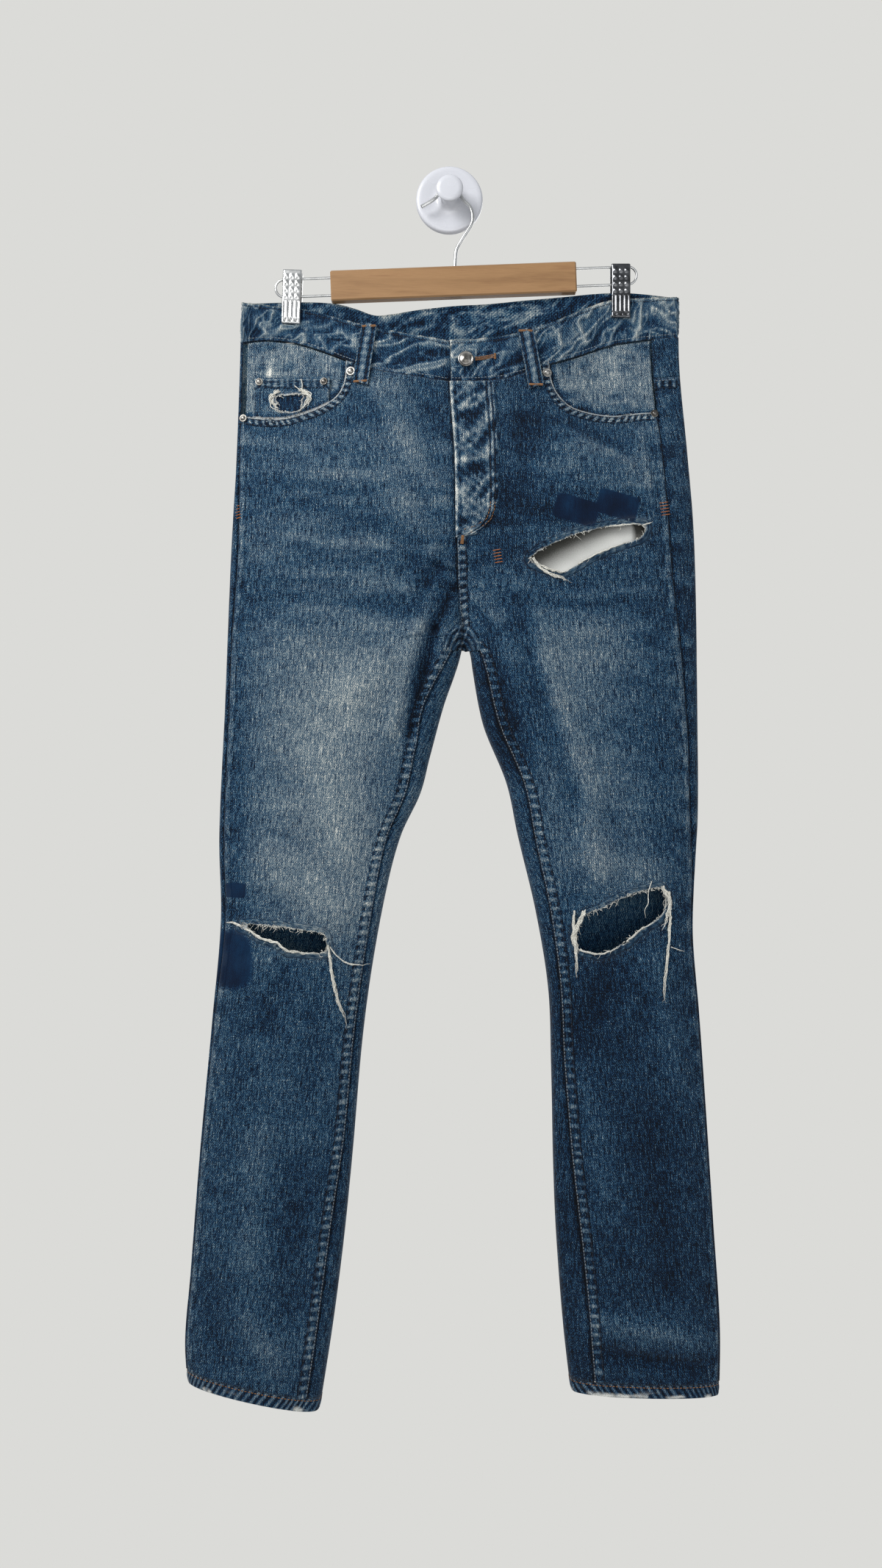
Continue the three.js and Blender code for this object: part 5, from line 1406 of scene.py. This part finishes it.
def add_pockets():
    """The pocket bands and facings, the torn coin pocket and the left pocket bag."""
    for side, seed in (("right", 151), ("left", 155)):
        mouth = spline(POCKET_MOUTH[side], 1.0)[2:-2]
        band = beside(mouth, 8.8 * towards(side) * -1)
        frayed = lambda arc, m: 0.9 * bell(m, 0.10) * (noise(arc, 9 * m, 4, 3, 77) > 0.35)
        strip(f"pocket_band_{side}", side, mouth, band, seed, pitch=6.5, skew=2, tone=0.0, contrast=0.32,
              roping=0.55, lines=((0.25, "navy"), (0.85, "navy")), worn_edge=0.35, spacing=0.9, fray=frayed,
              part_of=f"front_{side}_cloth")
        k, m = np.linspace(0, 1, 60)[None, :], np.linspace(0, 1, 44)[:, None]
        rough = mix(142, 236, m)
        outside = outer_x(side, rough) - towards(side) * np.maximum(7, smooth_at(OUTSEAM[side], rough) + 1)
        x = mix(outside, POCKET_MOUTH[side][0][0] - towards(side) * 9, k)
        drop = mix(smooth_at(BAND_FOOT["front"], x) + 1.2, 236, m)
        veins = 1 - np.abs(2 * noise(x + 0.4 * drop, drop, 14, 10, seed + 4) - 1)
        shade = 0.46 + 0.26 * (veins - 0.6)
        spot, bleached = ([-173, -173], 0.5) if side == "right" else ([158, -172], 0.18)
        shade = shade + bleached * np.exp(-(((x - spot[0]) / 3.4) ** 2 + ((-drop - spot[1]) / 9) ** 2))
        # Darker near the mouth: painted shadow under the mouth's edge.
        shade = shade - 0.36 * bell(nearest(mouth, x.ravel(), -drop.ravel())[0].reshape(x.shape), 5)
        lay(f"pocket_facing_{side}_cloth", x, -drop, -1.75, shade, WASHED[side], thickness=1.0,
            solids=(f"pocket_facing_{side}",))
    mouth = spline(POCKET_MOUTH["right"], 0.8)
    below = np.concatenate([mouth + [0.4, 0.4], [[-262, -262], [-60, -262], [-60, -166]]])
    coin_tear = ragged(COIN_TEAR, 9, 0.6)
    k, m = np.linspace(0, 1, 72)[None, :], np.linspace(0, 1, 50)[:, None]
    x = mix(COIN["left"], COIN["right"], k) + 0 * m
    z = -mix(COIN["top"], COIN["bottom"], m) + 0 * k
    sides = np.minimum(x - COIN["left"], COIN["right"] - x)
    shade = 0.34 + 0.12 * (noise(x, z, 12, 9, 161) - 0.5) + 0.16 * bell(sides, 2.4)
    # Darker near the pocket mouth: painted shadow under its edge.
    shade = shade - 0.2 * bell(nearest(mouth, x.ravel(), z.ravel())[0].reshape(x.shape), 4)
    lay("coin_pocket_cloth", x, z, 0.1 - 0.9 * bell(sides, 1.0), shade, WASHED["right"], thickness=1.0,
        finish="denim_dark", solids=("coin_pocket",),
        holes=[(below, 0.05), (coin_tear, 0.5)])
    backing_x, backing_z = np.meshgrid(np.linspace(-168, -138, 24), np.linspace(-196, -219, 20))
    lay("coin_lining", backing_x, backing_z, -1.15, 0.17, DARK, thickness=0.3, finish="denim_dark")
    top = np.array([[-187.4, -181.6], [-150, -182.0], [-114.4, -182.4]])
    strip("coin_band", "right", spline(top, 2), spline(top - [0, 11.5], 2), 165, tone=0.03, pitch=6.5,
          contrast=0.2,
          lines=((0.3, "navy"), (0.85, "navy")), worn_edge=0.25, spacing=0.9, part_of="coin_pocket_cloth")
    for inset in (2.0, 6.6):
        sew_on("navy", [[COIN["left"] + inset, -195], [COIN["left"] + inset, -219]], height=0.3)
    k, m = np.linspace(0, 1, 50)[None, :], np.linspace(0, 1, 60)[:, None]
    bottom = BAG["foot"] - BAG["corner"] * (2 * k - 1) ** 6
    x, z = mix(BAG["inner"], BAG["outer"], k) + 0 * m, -mix(BAG["top"], bottom, m)
    crumple = 1.6 * (noise(x, z, 26, 14, 171) - 0.5) + 0.9 * (noise(x + z, z, 9, 11, 172) - 0.5)
    # Painted shade on the bag: darker under the tear's upper lip, and dark in the gap at the tear's right
    # end.
    along = (x - 80) * 0.6 + (-z - 335) * 1.1
    painted_bag_shadow = 0.86 * ease((along - 22) / 44) - 0.75 * ease((x - 171) / 7)
    lay("pocket_bag_cloth", x, z, -5.6 + crumple, painted_bag_shadow, COTTON, thickness=0.5, finish="pocket_cotton",
        solids=("pocket_bag_left",))


def add_back_pockets():
    """Two patch pockets, each with its stitch rows."""
    for side, seed in (("right", 181), ("left", 185)):
        k, m = np.linspace(0, 1, 64)[None, :], np.linspace(0, 1, 60)[:, None]
        away = mix(38, 172, k) + 10 * m * (0.5 - k)
        bottom = 224 + 120 + 18 * (1 - np.abs(2 * k - 1))
        x = smooth_at(CENTRE, 224) + towards(side) * away
        z = -mix(224 + 8 * k, bottom, m)
        edge = np.minimum(np.minimum(k, 1 - k) * 132, (1 - m) * 125)
        top = m * 125
        height = 1.9 - 1.3 * bell(edge, 1.0) + 0.5 * bell(edge - 4, 2.4)
        height = height + 0.5 * bell(top - 6, 5) - 0.5 * bell(top - 13, 1.2)
        shade = wear_at(side, "back", x, z) + 0.05 + 0.15 * bell(edge, 1.6)
        shade = shade + 0.08 * rope(x, seed, 8) * bell(top - 6, 6) + 0.2 * bell(top, 2)
        points, normals = lay(f"back_pocket_{side}_cloth", x, z, height, shade, WASHED[side], "back", 1.0,
                solids=(f"back_pocket_{side}",))
        for inset in (1, 4):
            rim = [points[:, inset], points[-1 - inset, 1:-1], points[::-1, -1 - inset]]
            out = [normals[:, inset], normals[-1 - inset, 1:-1], normals[::-1, -1 - inset]]
            sew("pale", np.concatenate(rim) + 0.2 * np.concatenate(out), np.concatenate(out))
        sew("pale", points[6] + 0.2 * normals[6], normals[6])


# ---------------------------------------------------------------- belt loops
LOOP = {"width": 14.2, "thick": 1.8, "below": 18.5, "bulge": 1.6}
LOOPS = {"front_right": [-80.5, "front", -8], "front_left": [77, "front", 10],
        "back_right": [-110, "back", -4],
        "back_centre": [5, "back", 0], "back_left": [118, "back", 4]}


def add_belt_loops():
    """Five folded loops, tacked at both ends."""
    for name, (x0, face, lean) in LOOPS.items():
        def at(k, m, height=LAYER_GAP + LOOP["thick"] + 0.4):
            x = x0 + (m - 0.5) * LOOP["width"] + (k - 0.5) * lean
            top, foot = smooth_at(BAND_TOP[face], x) - 1, smooth_at(BAND_FOOT[face], x) + LOOP["below"]
            return frame_on(face, x, -mix(top, foot, k),
                    height + LOOP["bulge"] * np.sin(np.pi * k) + 0 * m)[0]

        def relief(k, m):
            return (0.45 * bell(m - 0.5, 0.2) - 0.5 * bell(m - 0.2, 0.06)
                    - 0.5 * bell(m - 0.8, 0.06) + 0.15 * rope(57 * k + 3 * m, 191 + len(name), 7))

        points, k, m, depth = closed_section(at, 60, 16, LOOP["thick"], False, relief)
        shade = 0.22 + 0.30 * np.exp(-(((m - 0.5) / 0.19) ** 4)) + 0.08 * rope(57 * k + 3 * m,
            191 + len(name), 7)
        shade = shade + 0.36 * (bell(m, 0.07) + bell(1 - m, 0.07))
        shade = shade - 0.2 * (bell(m - 0.2, 0.07) + bell(m - 0.8, 0.07))
        obj = add_closed(f"belt_loop_{name}_cloth", points, shade, [DARK], m * LOOP["width"] + 0 * k,
                -57 * k + 0 * m)
        place(obj, "denim_dark", f"belt_loop_{name}")
        for share in (0.2, 0.8):
            line = at(np.linspace(0.02, 0.98, 44)[None, :], np.array([[share]]))[0]
            _, normals = frame_on(face, line[:, 0], line[:, 2])
            sew("tan" if face == "back" else "navy", line, normals)
        for k0 in (0.02, 0.975):
            x = x0 + (k0 - 0.5) * lean
            z = -mix(smooth_at(BAND_TOP[face], x), smooth_at(BAND_FOOT[face], x) + LOOP["below"], k0)
            bar_tack("tan", x, z, 0, 12.5, 2.6, height=LAYER_GAP + LOOP["thick"] + 0.75, face=face)


# ---------------------------------------------------------------- loose threads
def tubes(name, paths, radius, material, sides=4, reference=(0, 1, 0)):
    """Round threads or wires along paths, an array of count by steps points. Each ring faces along its
    path, with its first side square to a reference direction."""
    paths = np.asarray(paths, float)
    count, steps = paths.shape[:2]
    tangent = np.gradient(paths, axis=1)
    tangent /= np.linalg.norm(tangent, axis=2, keepdims=True) + 1e-9
    sideways = np.cross(np.array(reference, float), tangent)
    sideways /= np.linalg.norm(sideways, axis=2, keepdims=True) + 1e-9
    upward = np.cross(tangent, sideways)
    angle = 2 * np.pi * np.arange(sides) / sides
    ring = np.cos(angle)[:, None] * sideways[:, :, None] + np.sin(angle)[:, None] * upward[:, :, None]
    points = paths[:, :, None] + ring * np.broadcast_to(radius, (count, steps))[..., None, None]
    grid = grid_faces(steps, sides, hoop=True)
    faces = grid[None] + (steps * sides) * np.arange(count)[:, None, None]
    obj = new_mesh(name, points.reshape(-1, 3), faces.reshape(-1, 4), [material])
    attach(obj, "root")
    return obj


def taper(count, steps, thick, seed):
    """Radii along threads, thinning to nothing at the loose end."""
    own = np.random.default_rng(seed).uniform(0.65, 1.25, (count, 1)) * thick
    return own * (1 - 0.85 * np.linspace(0, 1, steps)[None, :] ** 4)


def on_front(x, z, lift):
    """Points that stand off the front at x and z."""
    points = on_body(x, z, "front")
    points[..., 1] -= lift
    return points


def strands(places, count, spread, seed, steps=56, lift=1.3, loosen=1.0):
    """Loose threads bunched along a line through a few [x, z] places, wandering by spread."""
    curve, arc = resampled(spline(places, 1.0), steps)
    own = np.arange(count)[:, None] * 5.3
    waves = [noise(arc[None, :], own, 9.0 if n < 2 else 6.0, 1, seed + n)
            + 0.5 * noise(arc[None, :], own, 3.2, 1, seed + n + 10) - 0.75 for n in range(3)]
    open_out = spread * (0.6 + loosen * np.linspace(0, 1, steps))[None, :]
    reach = np.random.default_rng(seed).uniform(0.55, 1.0, (count, 1))
    along = np.linspace(0, 1, steps)[None, :] * reach
    x = np.interp(along, np.linspace(0, 1, steps), curve[:, 0]) + 2 * open_out * waves[0]
    z = np.interp(along, np.linspace(0, 1, steps), curve[:, 1]) + 2 * open_out * waves[1]
    return on_front(x, z, lift * (1 + 1.2 * waves[2]))


def fringe(outline, count, length, seed, into=1.0, fall=0.5):
    """Short loose fibres round a torn edge: each starts on the edge, leans over the opening, curls and
    falls."""
    rng = np.random.default_rng(seed)
    at = rng.integers(0, len(outline), size=count)
    along = np.roll(outline, -2, 0)[at] - np.roll(outline, 2, 0)[at]
    along /= np.linalg.norm(along, axis=1, keepdims=True) + 1e-9
    x, z = outline.T
    turning = np.sign(np.sum(x * np.roll(z, -1) - np.roll(x, -1) * z))
    inward = turning * np.stack([-along[:, 1], along[:, 0]], 1)
    size = length * rng.uniform(0.3, 1.0, (count, 1)) ** 1.6
    lean, push = rng.normal(0, 0.9, (count, 1)), into * rng.normal(0.3, 0.5, (count, 1))
    s = np.linspace(0, 1, 8)[None, :]
    pull = size * (inward * push + along * lean)
    bend = rng.normal(0, 0.3, (count, 2)) * size
    swing = np.sin(s * rng.uniform(2, 6, (count, 1)))
    x = outline[at, 0][:, None] + pull[:, :1] * s + bend[:, :1] * swing
    z = outline[at, 1][:, None] + pull[:, 1:] * s + bend[:, 1:] * swing - fall * size * s ** 2
    return on_front(x, z, 0.3 + s * rng.uniform(-0.5, 2.2, (count, 1)))


def section(outline, x0, x1, lower):
    """The part of a torn edge between two x, on its lower or upper side, from x0 to x1."""
    middle = np.interp(outline[:, 0], *np.array(sorted(
        [[x, np.mean([outline[np.abs(outline[:, 0] - x) < 4, 1].min(),
            outline[np.abs(outline[:, 0] - x) < 4, 1].max()])]
         for x in np.linspace(outline[:, 0].min() + 2, outline[:, 0].max() - 2, 12)])).T)
    on = (outline[:, 1] < middle) if lower else (outline[:, 1] > middle)
    on &= (outline[:, 0] > min(x0, x1)) & (outline[:, 0] < max(x0, x1))
    places = outline[on]
    order = np.argsort(places[:, 0] * (1 if x1 > x0 else -1))
    return places[order][::4]


def add_threads():
    """Fibres round the torn edges, tangles of weft and the long tails."""
    thigh, right, left = (ragged(tear, 3, 0.5) for tear in (THIGH_TEAR, RIGHT_KNEE_TEAR, LEFT_KNEE_TEAR))
    coin = ragged(COIN_TEAR, 9, 0.5)
    short = np.concatenate([fringe(thigh, 110, 4, 201), fringe(right, 150, 4.5, 202, fall=0.6),
        fringe(left, 170, 4.5, 203, fall=0.6), fringe(coin, 50, 4, 204, into=0.6)])
    tubes("torn_edge_fibres", short, taper(len(short), short.shape[1], 0.2, 205), WEFT, sides=4)
    tangles = [
        # places, threads, spread, seed, lift
        (section(right, -192, -118, True), 15, 1.6, 211, 1.7),
        ([[-197, -704], [-206, -701], [-214, -703]], 5, 1.2, 213, 1.2),
        ([[-112, -724], [-105, -733], [-96, -739], [-83, -741], [-73, -741]], 5, 0.8, 214, 1.4),
        (section(left, 122, 160, True), 5, 1.2, 215, 1.3), (section(left, 165, 196, True), 3, 0.9, 216, 0.9),
        ([[126, -690], [120, -704], [116, -716], [121, -729]], 18, 2.8, 217, 2.2),
        ([[199, -667], [206, -680], [204, -694], [199, -708]], 16, 2.4, 218, 2.2),
        ([[189, -662], [186, -672], [186, -682], [183, -690], [185, -702]], 2, 0.5, 219, 0.8),
        (section(thigh, 84, 116, True), 6, 1.4, 221, 1.6), (section(thigh, 120, 176, True), 3, 0.7, 222, 0.9),
        (section(thigh, 150, 182, False), 5, 1.0, 223, 1.3),
        ([[182, -327], [190, -324], [193, -322]], 4, 0.8, 224, 1.2),
        ([[-164, -195], [-171, -201], [-168, -209], [-161, -216]], 8, 3.6, 225, 1.4),
        ([[-143, -193], [-134, -200], [-136, -208], [-144, -214]], 10, 4.0, 226, 1.6),
        ([[-148, -190], [-142, -194], [-140, -187]], 2, 0.5, 227, 1.2),
        ([[-142, -183], [-141, -190], [-142, -198]], 3, 0.4, 229, 1.3),
        ([[208, -724], [216, -727], [224, -729]], 2, 0.6, 228, 1.2),]
    for n, (places, count, spread, seed, lift) in enumerate(tangles):
        paths = strands(places, count, spread, seed, lift=lift, loosen=0.2)
        tubes(f"tangle_{n:02d}", paths, taper(*paths.shape[:2], 0.38, seed), WEFT)
    tails = {
        "fray_knee_right": ([[-114, -722], [-112, -736], [-110, -752], [-105, -774], [-99, -790],
            [-97, -806]], 15),
        "fray_knee_left_inner": ([[117, -690], [116, -706], [118, -722], [119, -738], [120, -757]], 13),
        "fray_knee_left_outer": ([[206, -672], [207, -690], [206, -715], [203, -745], [201, -766],
            [202, -778]], 13),
        "fray_thigh_left": ([[78, -359], [85, -368], [95, -374], [108, -379], [120, -390]], 8),}
    for n, (name, (places, count)) in enumerate(tails.items()):
        paths = strands(places, count, 1.4, 241 + n, steps=72, lift=2.0, loosen=0.6)
        obj = tubes(f"{name}_threads", paths, taper(*paths.shape[:2], 0.42, 251 + n), WEFT)
        place(obj, "white_thread", name)


# ---------------------------------------------------------------- metal, plastic and wood
def lathe(name, profile, material, sides, base=(0, 0, 0), normal=(0, -1, 0)):
    """A turned piece from its profile of [radius, height], standing out along a normal."""
    radius, height = np.array(profile, float).T
    normal = np.array(normal, float)
    first = np.cross(normal, (0, 0, 1))
    first /= np.linalg.norm(first)
    second = np.cross(normal, first)
    angle = 2 * np.pi * np.arange(sides) / sides
    points = (np.array(base, float) + height[:, None, None] * normal + radius[:, None, None]
            * (np.cos(angle)[:, None] * first + np.sin(angle)[:, None] * second))
    obj = new_mesh(name, points.reshape(-1, 3), grid_faces(len(profile), sides, hoop=True), [material])
    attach(obj, "root")
    return obj


def rounded(profile, spacing=0.25):
    """A smooth profile through a few [radius, height] points, with none past the axis."""
    curve = spline(profile, spacing)
    return np.maximum(curve, [0.01, -10])


RIVET = [[4.2, -0.4], [4.5, 0.3], [4.2, 0.9], [3.3, 0.95], [2.9, 0.75], [2.6, 1.3], [1.8, 2.1], [0.8, 2.4],
        [0, 2.45]]
BUTTON = [[5.0, -0.4], [6.6, 0.6], [7.5, 1.5], [7.5, 2.4], [6.9, 3.0], [6.1, 2.9], [5.6, 2.5], [4.6, 2.8],
        [3.0, 3.6], [1.2, 4.05], [0, 4.1]]
RIVETS = {
    "rivet_right_waist": [-94, -177.5], "rivet_right_side": [-197, -221.5],
    "rivet_coin_outer": [-182.4, -185.5],
    "rivet_coin_inner": [-120, -186], "rivet_left_waist": [92.8, -179.5], "rivet_left_side": [195.5, -217.5],
}
WALL_PLATE = [[0, 0], [32.5, 0], [32.5, 0.1], [32.5, 3.2], [32.1, 4.4], [30.6, 5.3], [27, 5.6], [20, 4.5],
        [13, 4.8], [9.9, 6.6], [8.2, 10], [8, 16], [8, 22], [9.5, 23.8], [12.4, 25], [13, 26.4], [12, 28],
        [8, 28.3], [0, 28.4]]
HOOK_WIRE, HOOK_Y = 1.75, -14
HOOK_STEPS, ROD_STEPS, COIL_STEPS, COIL_TURNS = 150, 90, 130, 7
JAW_COLUMNS, JAW_ROWS = 47, 95
HOOK = [[-27, -12], [-20, -8], [-13.5, -3.4], [-10.0, 1.8], [-7.8, 6.6], [-4.3, 9.2], [0, 10.2], [4.3, 9.2],
        [7.8, 6.6], [10.0, 1.8], [13, -5], [19.4, -11.5], [22.4, -20.7], [21, -29.5], [11.7, -44.5],
        [6.5, -55], [5.3, -71.3]]
BAR_X, BAR_Z, BAR_HALF, BAR_TILT = 3.9, -86.5, 118.5, 0.0375
ROD_WIRE, ROD_Y, ROD_APART = 1.2, -17.6, 8.5
# the last two of each: the clip's metal, and 1 where that metal is the chrome painted darker as shade
CLIPS = {"right": (-151.8, -102.5, 0.035, CHROME, 0), "left": (164.7, -96.8, 0.0, SHADED_CHROME, 1)}
CLIP_HALF_WIDTH, CLIP_HALF_HEIGHT, CLIP_PLATE = 9.0, 26.0, 3.2


def add_trim():
    """The six rivets and the waist button."""
    for name, (x, z) in RIVETS.items():
        base, normal = frame_on("front", np.array([x]), np.array([z]), 0.7)
        worn = name.endswith("waist")
        profile = np.array(RIVET) * (1.0 if worn else 0.84)
        obj = lathe(f"{name}_dome", rounded(profile), NICKEL if worn else OLD_NICKEL, 24, base[0], normal[0])
        place(obj, "aged_nickel", name)
    base, normal = frame_on("front", np.array([15.4]), np.array([-167.5]), 0.9)
    place(lathe("waist_button_dome", rounded(BUTTON), NICKEL, 40, base[0], normal[0]), "aged_nickel",
          "waist_button")


def rod_path(side):
    """Out from the bar past the clip, round, and back, in the rod's own plane."""
    past = abs(CLIPS[side][0] - BAR_X) + CLIP_HALF_WIDTH + 7
    bow = np.linspace(np.pi / 2, -np.pi / 2, 24)
    flat = np.array([[BAR_HALF - 3, ROD_APART], *zip(past - ROD_APART + ROD_APART * np.cos(bow),
            ROD_APART * np.sin(bow)), [BAR_HALF - 3, -ROD_APART]])
    flat, _ = resampled(flat, ROD_STEPS)
    x, z = flat[:, 0] * towards(side), flat[:, 1]
    return np.stack([BAR_X + x * np.cos(BAR_TILT) - z * np.sin(BAR_TILT), np.full(ROD_STEPS, float(ROD_Y)),
            BAR_Z + x * np.sin(BAR_TILT) + z * np.cos(BAR_TILT)], 1)


def add_hanger():
    """The wall plate, hook wire, rods, and each clip's front jaw and spring."""
    place(lathe("wall_plate_disc", WALL_PLATE, PLASTIC, 72), "white_plastic", "wall_plate")
    curve, _ = resampled(spline(HOOK, 1.0), HOOK_STEPS)
    path = np.stack([curve[:, 0], np.full(HOOK_STEPS, float(HOOK_Y)), curve[:, 1]], 1)
    place(tubes("hanger_hook_wire", path[None], HOOK_WIRE, CHROME, 14), "bright_chrome", "hanger_hook")
    for side, (x, z, lean, metal, dark) in CLIPS.items():
        rod = tubes(f"rod_{side}_wire", rod_path(side)[None], ROD_WIRE, CHROME, 12)
        place(rod, "bright_chrome", f"rod_{side}")
        k, m = np.meshgrid(np.linspace(-1, 1, JAW_COLUMNS), np.linspace(1, -1, JAW_ROWS))
        across_plate, up = k * CLIP_HALF_WIDTH, m * CLIP_HALF_HEIGHT
        upper = (up > -3) & (up < 23)
        dots = np.cos(np.pi * across_plate / 5.4) ** 2 * np.sin(np.pi * (up + 3) / 6.4) ** 2
        flutes = np.cos(2 * np.pi * across_plate / 4.2)
        rim = bell((1 - np.abs(k)) * CLIP_HALF_WIDTH, 0.7) + bell((1 - np.abs(m)) * CLIP_HALF_HEIGHT, 0.7)
        holes = sum(np.exp(-(((across_plate - at) / 1.0) ** 2) - ((up + 22.5) / 1.2) ** 2)
                for at in (-5.4, 0, 5.4))
        out = np.where(upper, 1.1 * dots * (np.abs(across_plate) < 8.1),
                0.45 * flutes * (up > -20) * (up < -4.5))
        out = CLIP_PLATE - 0.9 + out - 0.9 * rim - 1.6 * holes
        away = FOLD_RADIUS + 0.4
        local = np.stack([across_plate, smooth_at(MIDDLE, -z) - away - out, up], -1)
        points = np.stack([x + local[..., 0] * np.cos(lean) + local[..., 2] * np.sin(lean), local[..., 1],
                z - local[..., 0] * np.sin(lean) + local[..., 2] * np.cos(lean)], -1)
        plate = new_mesh(f"clip_{side}_jaw", points.reshape(-1, 3),
                grid_faces(JAW_ROWS, JAW_COLUMNS)[:, ::-1], [metal])
        solidify = plate.modifiers.new("thickness", "SOLIDIFY")
        solidify.thickness, solidify.offset = 1.6 * MM, -1
        # The left clip's darker chrome is painted shade.
        slot = "dark_chrome" if dark else "bright_chrome"
        place(plate, slot, f"clip_{side}_front")
        turns = np.linspace(0, 2 * np.pi * COIL_TURNS, COIL_STEPS)
        rods_z = BAR_Z + (x - BAR_X) * np.tan(BAR_TILT)
        coil = np.stack([x + np.linspace(-8, 8, COIL_STEPS), smooth_at(MIDDLE, -z) + 2.1 * np.cos(turns),
                rods_z + 2.1 * np.sin(turns)], 1)
        place(tubes(f"clip_{side}_coil", coil[None], 0.55, metal, 8, (1, 0, 0)), slot,
              f"clip_{side}_spring")
        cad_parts[f"clip_{side}_back"].material_slots[0].material = metal
    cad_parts["hanger_bar"].material_slots[0].material = MAPLE


add_seams()
add_crotch_bunch()
add_lips()
add_fly()
add_pockets()
add_back_pockets()
add_belt_loops()
add_threads()
add_trim()
add_hanger()
add_stitches()


# ---------------------------------------------------------------- light and floor
FLOOR_RADIUS, FLOOR_HEIGHT = 1.6, -2.4  # metres


def add_stage():
    """An even pale surround, four soft lamps and a plain floor."""
    world = bpy.data.worlds.new("studio")
    world.use_nodes = True
    tree = world.node_tree
    seen = node(tree, "Background", {0: srgb("#dbdbd8"), 1: 1.0})
    soft = node(tree, "Background", {0: srgb("#dfe3e8"), 1: 0.55})
    mixed = node(tree, "MixShader", {0: node(tree, "LightPath", {}), 1: soft, 2: seen})
    tree.links.new(mixed, tree.nodes["World Output"].inputs[0])
    bpy.context.scene.world = world
    bpy.context.scene.view_settings.view_transform = "Standard"
    for name, spot, size, power in (("key", (-1.15, -1.05, 0.75), 0.9, 34),
            ("fill", (1.2, -1.5, -0.6), 1.4, 5),
            ("top", (0.0, -1.9, -0.5), 1.2, 8), ("back", (0.7, 1.9, 0.1), 1.6, 16)):
        data = bpy.data.lights.new(name, "AREA")
        data.energy = power
        data.size = size
        lamp = bpy.data.objects.new(name, data)
        lamp.location = spot
        aim = np.array([0, 0, -0.55]) - np.array(spot)
        lamp.rotation_euler = Vector(aim).to_track_quat("-Z", "Y").to_euler()
        bpy.context.scene.collection.objects.link(lamp)
    sides, rings = 96, 12
    ring = np.linspace(0, 2 * np.pi, sides + 1)[:-1]
    radii = np.linspace(0.02, FLOOR_RADIUS, rings)
    x, y = np.cos(ring)[None, :] * radii[:, None], np.sin(ring)[None, :] * radii[:, None]
    points = np.stack([x, y - 0.2, np.full(x.shape, FLOOR_HEIGHT)], -1).reshape(-1, 3) / MM
    material = new_material("pale floor", lambda tree: {}, Base_Color=srgb("#f2f2ee"), Roughness=0.8)
    floor = new_mesh("floor", points, grid_faces(rings, sides, True)[:, ::-1], [material])


add_stage()
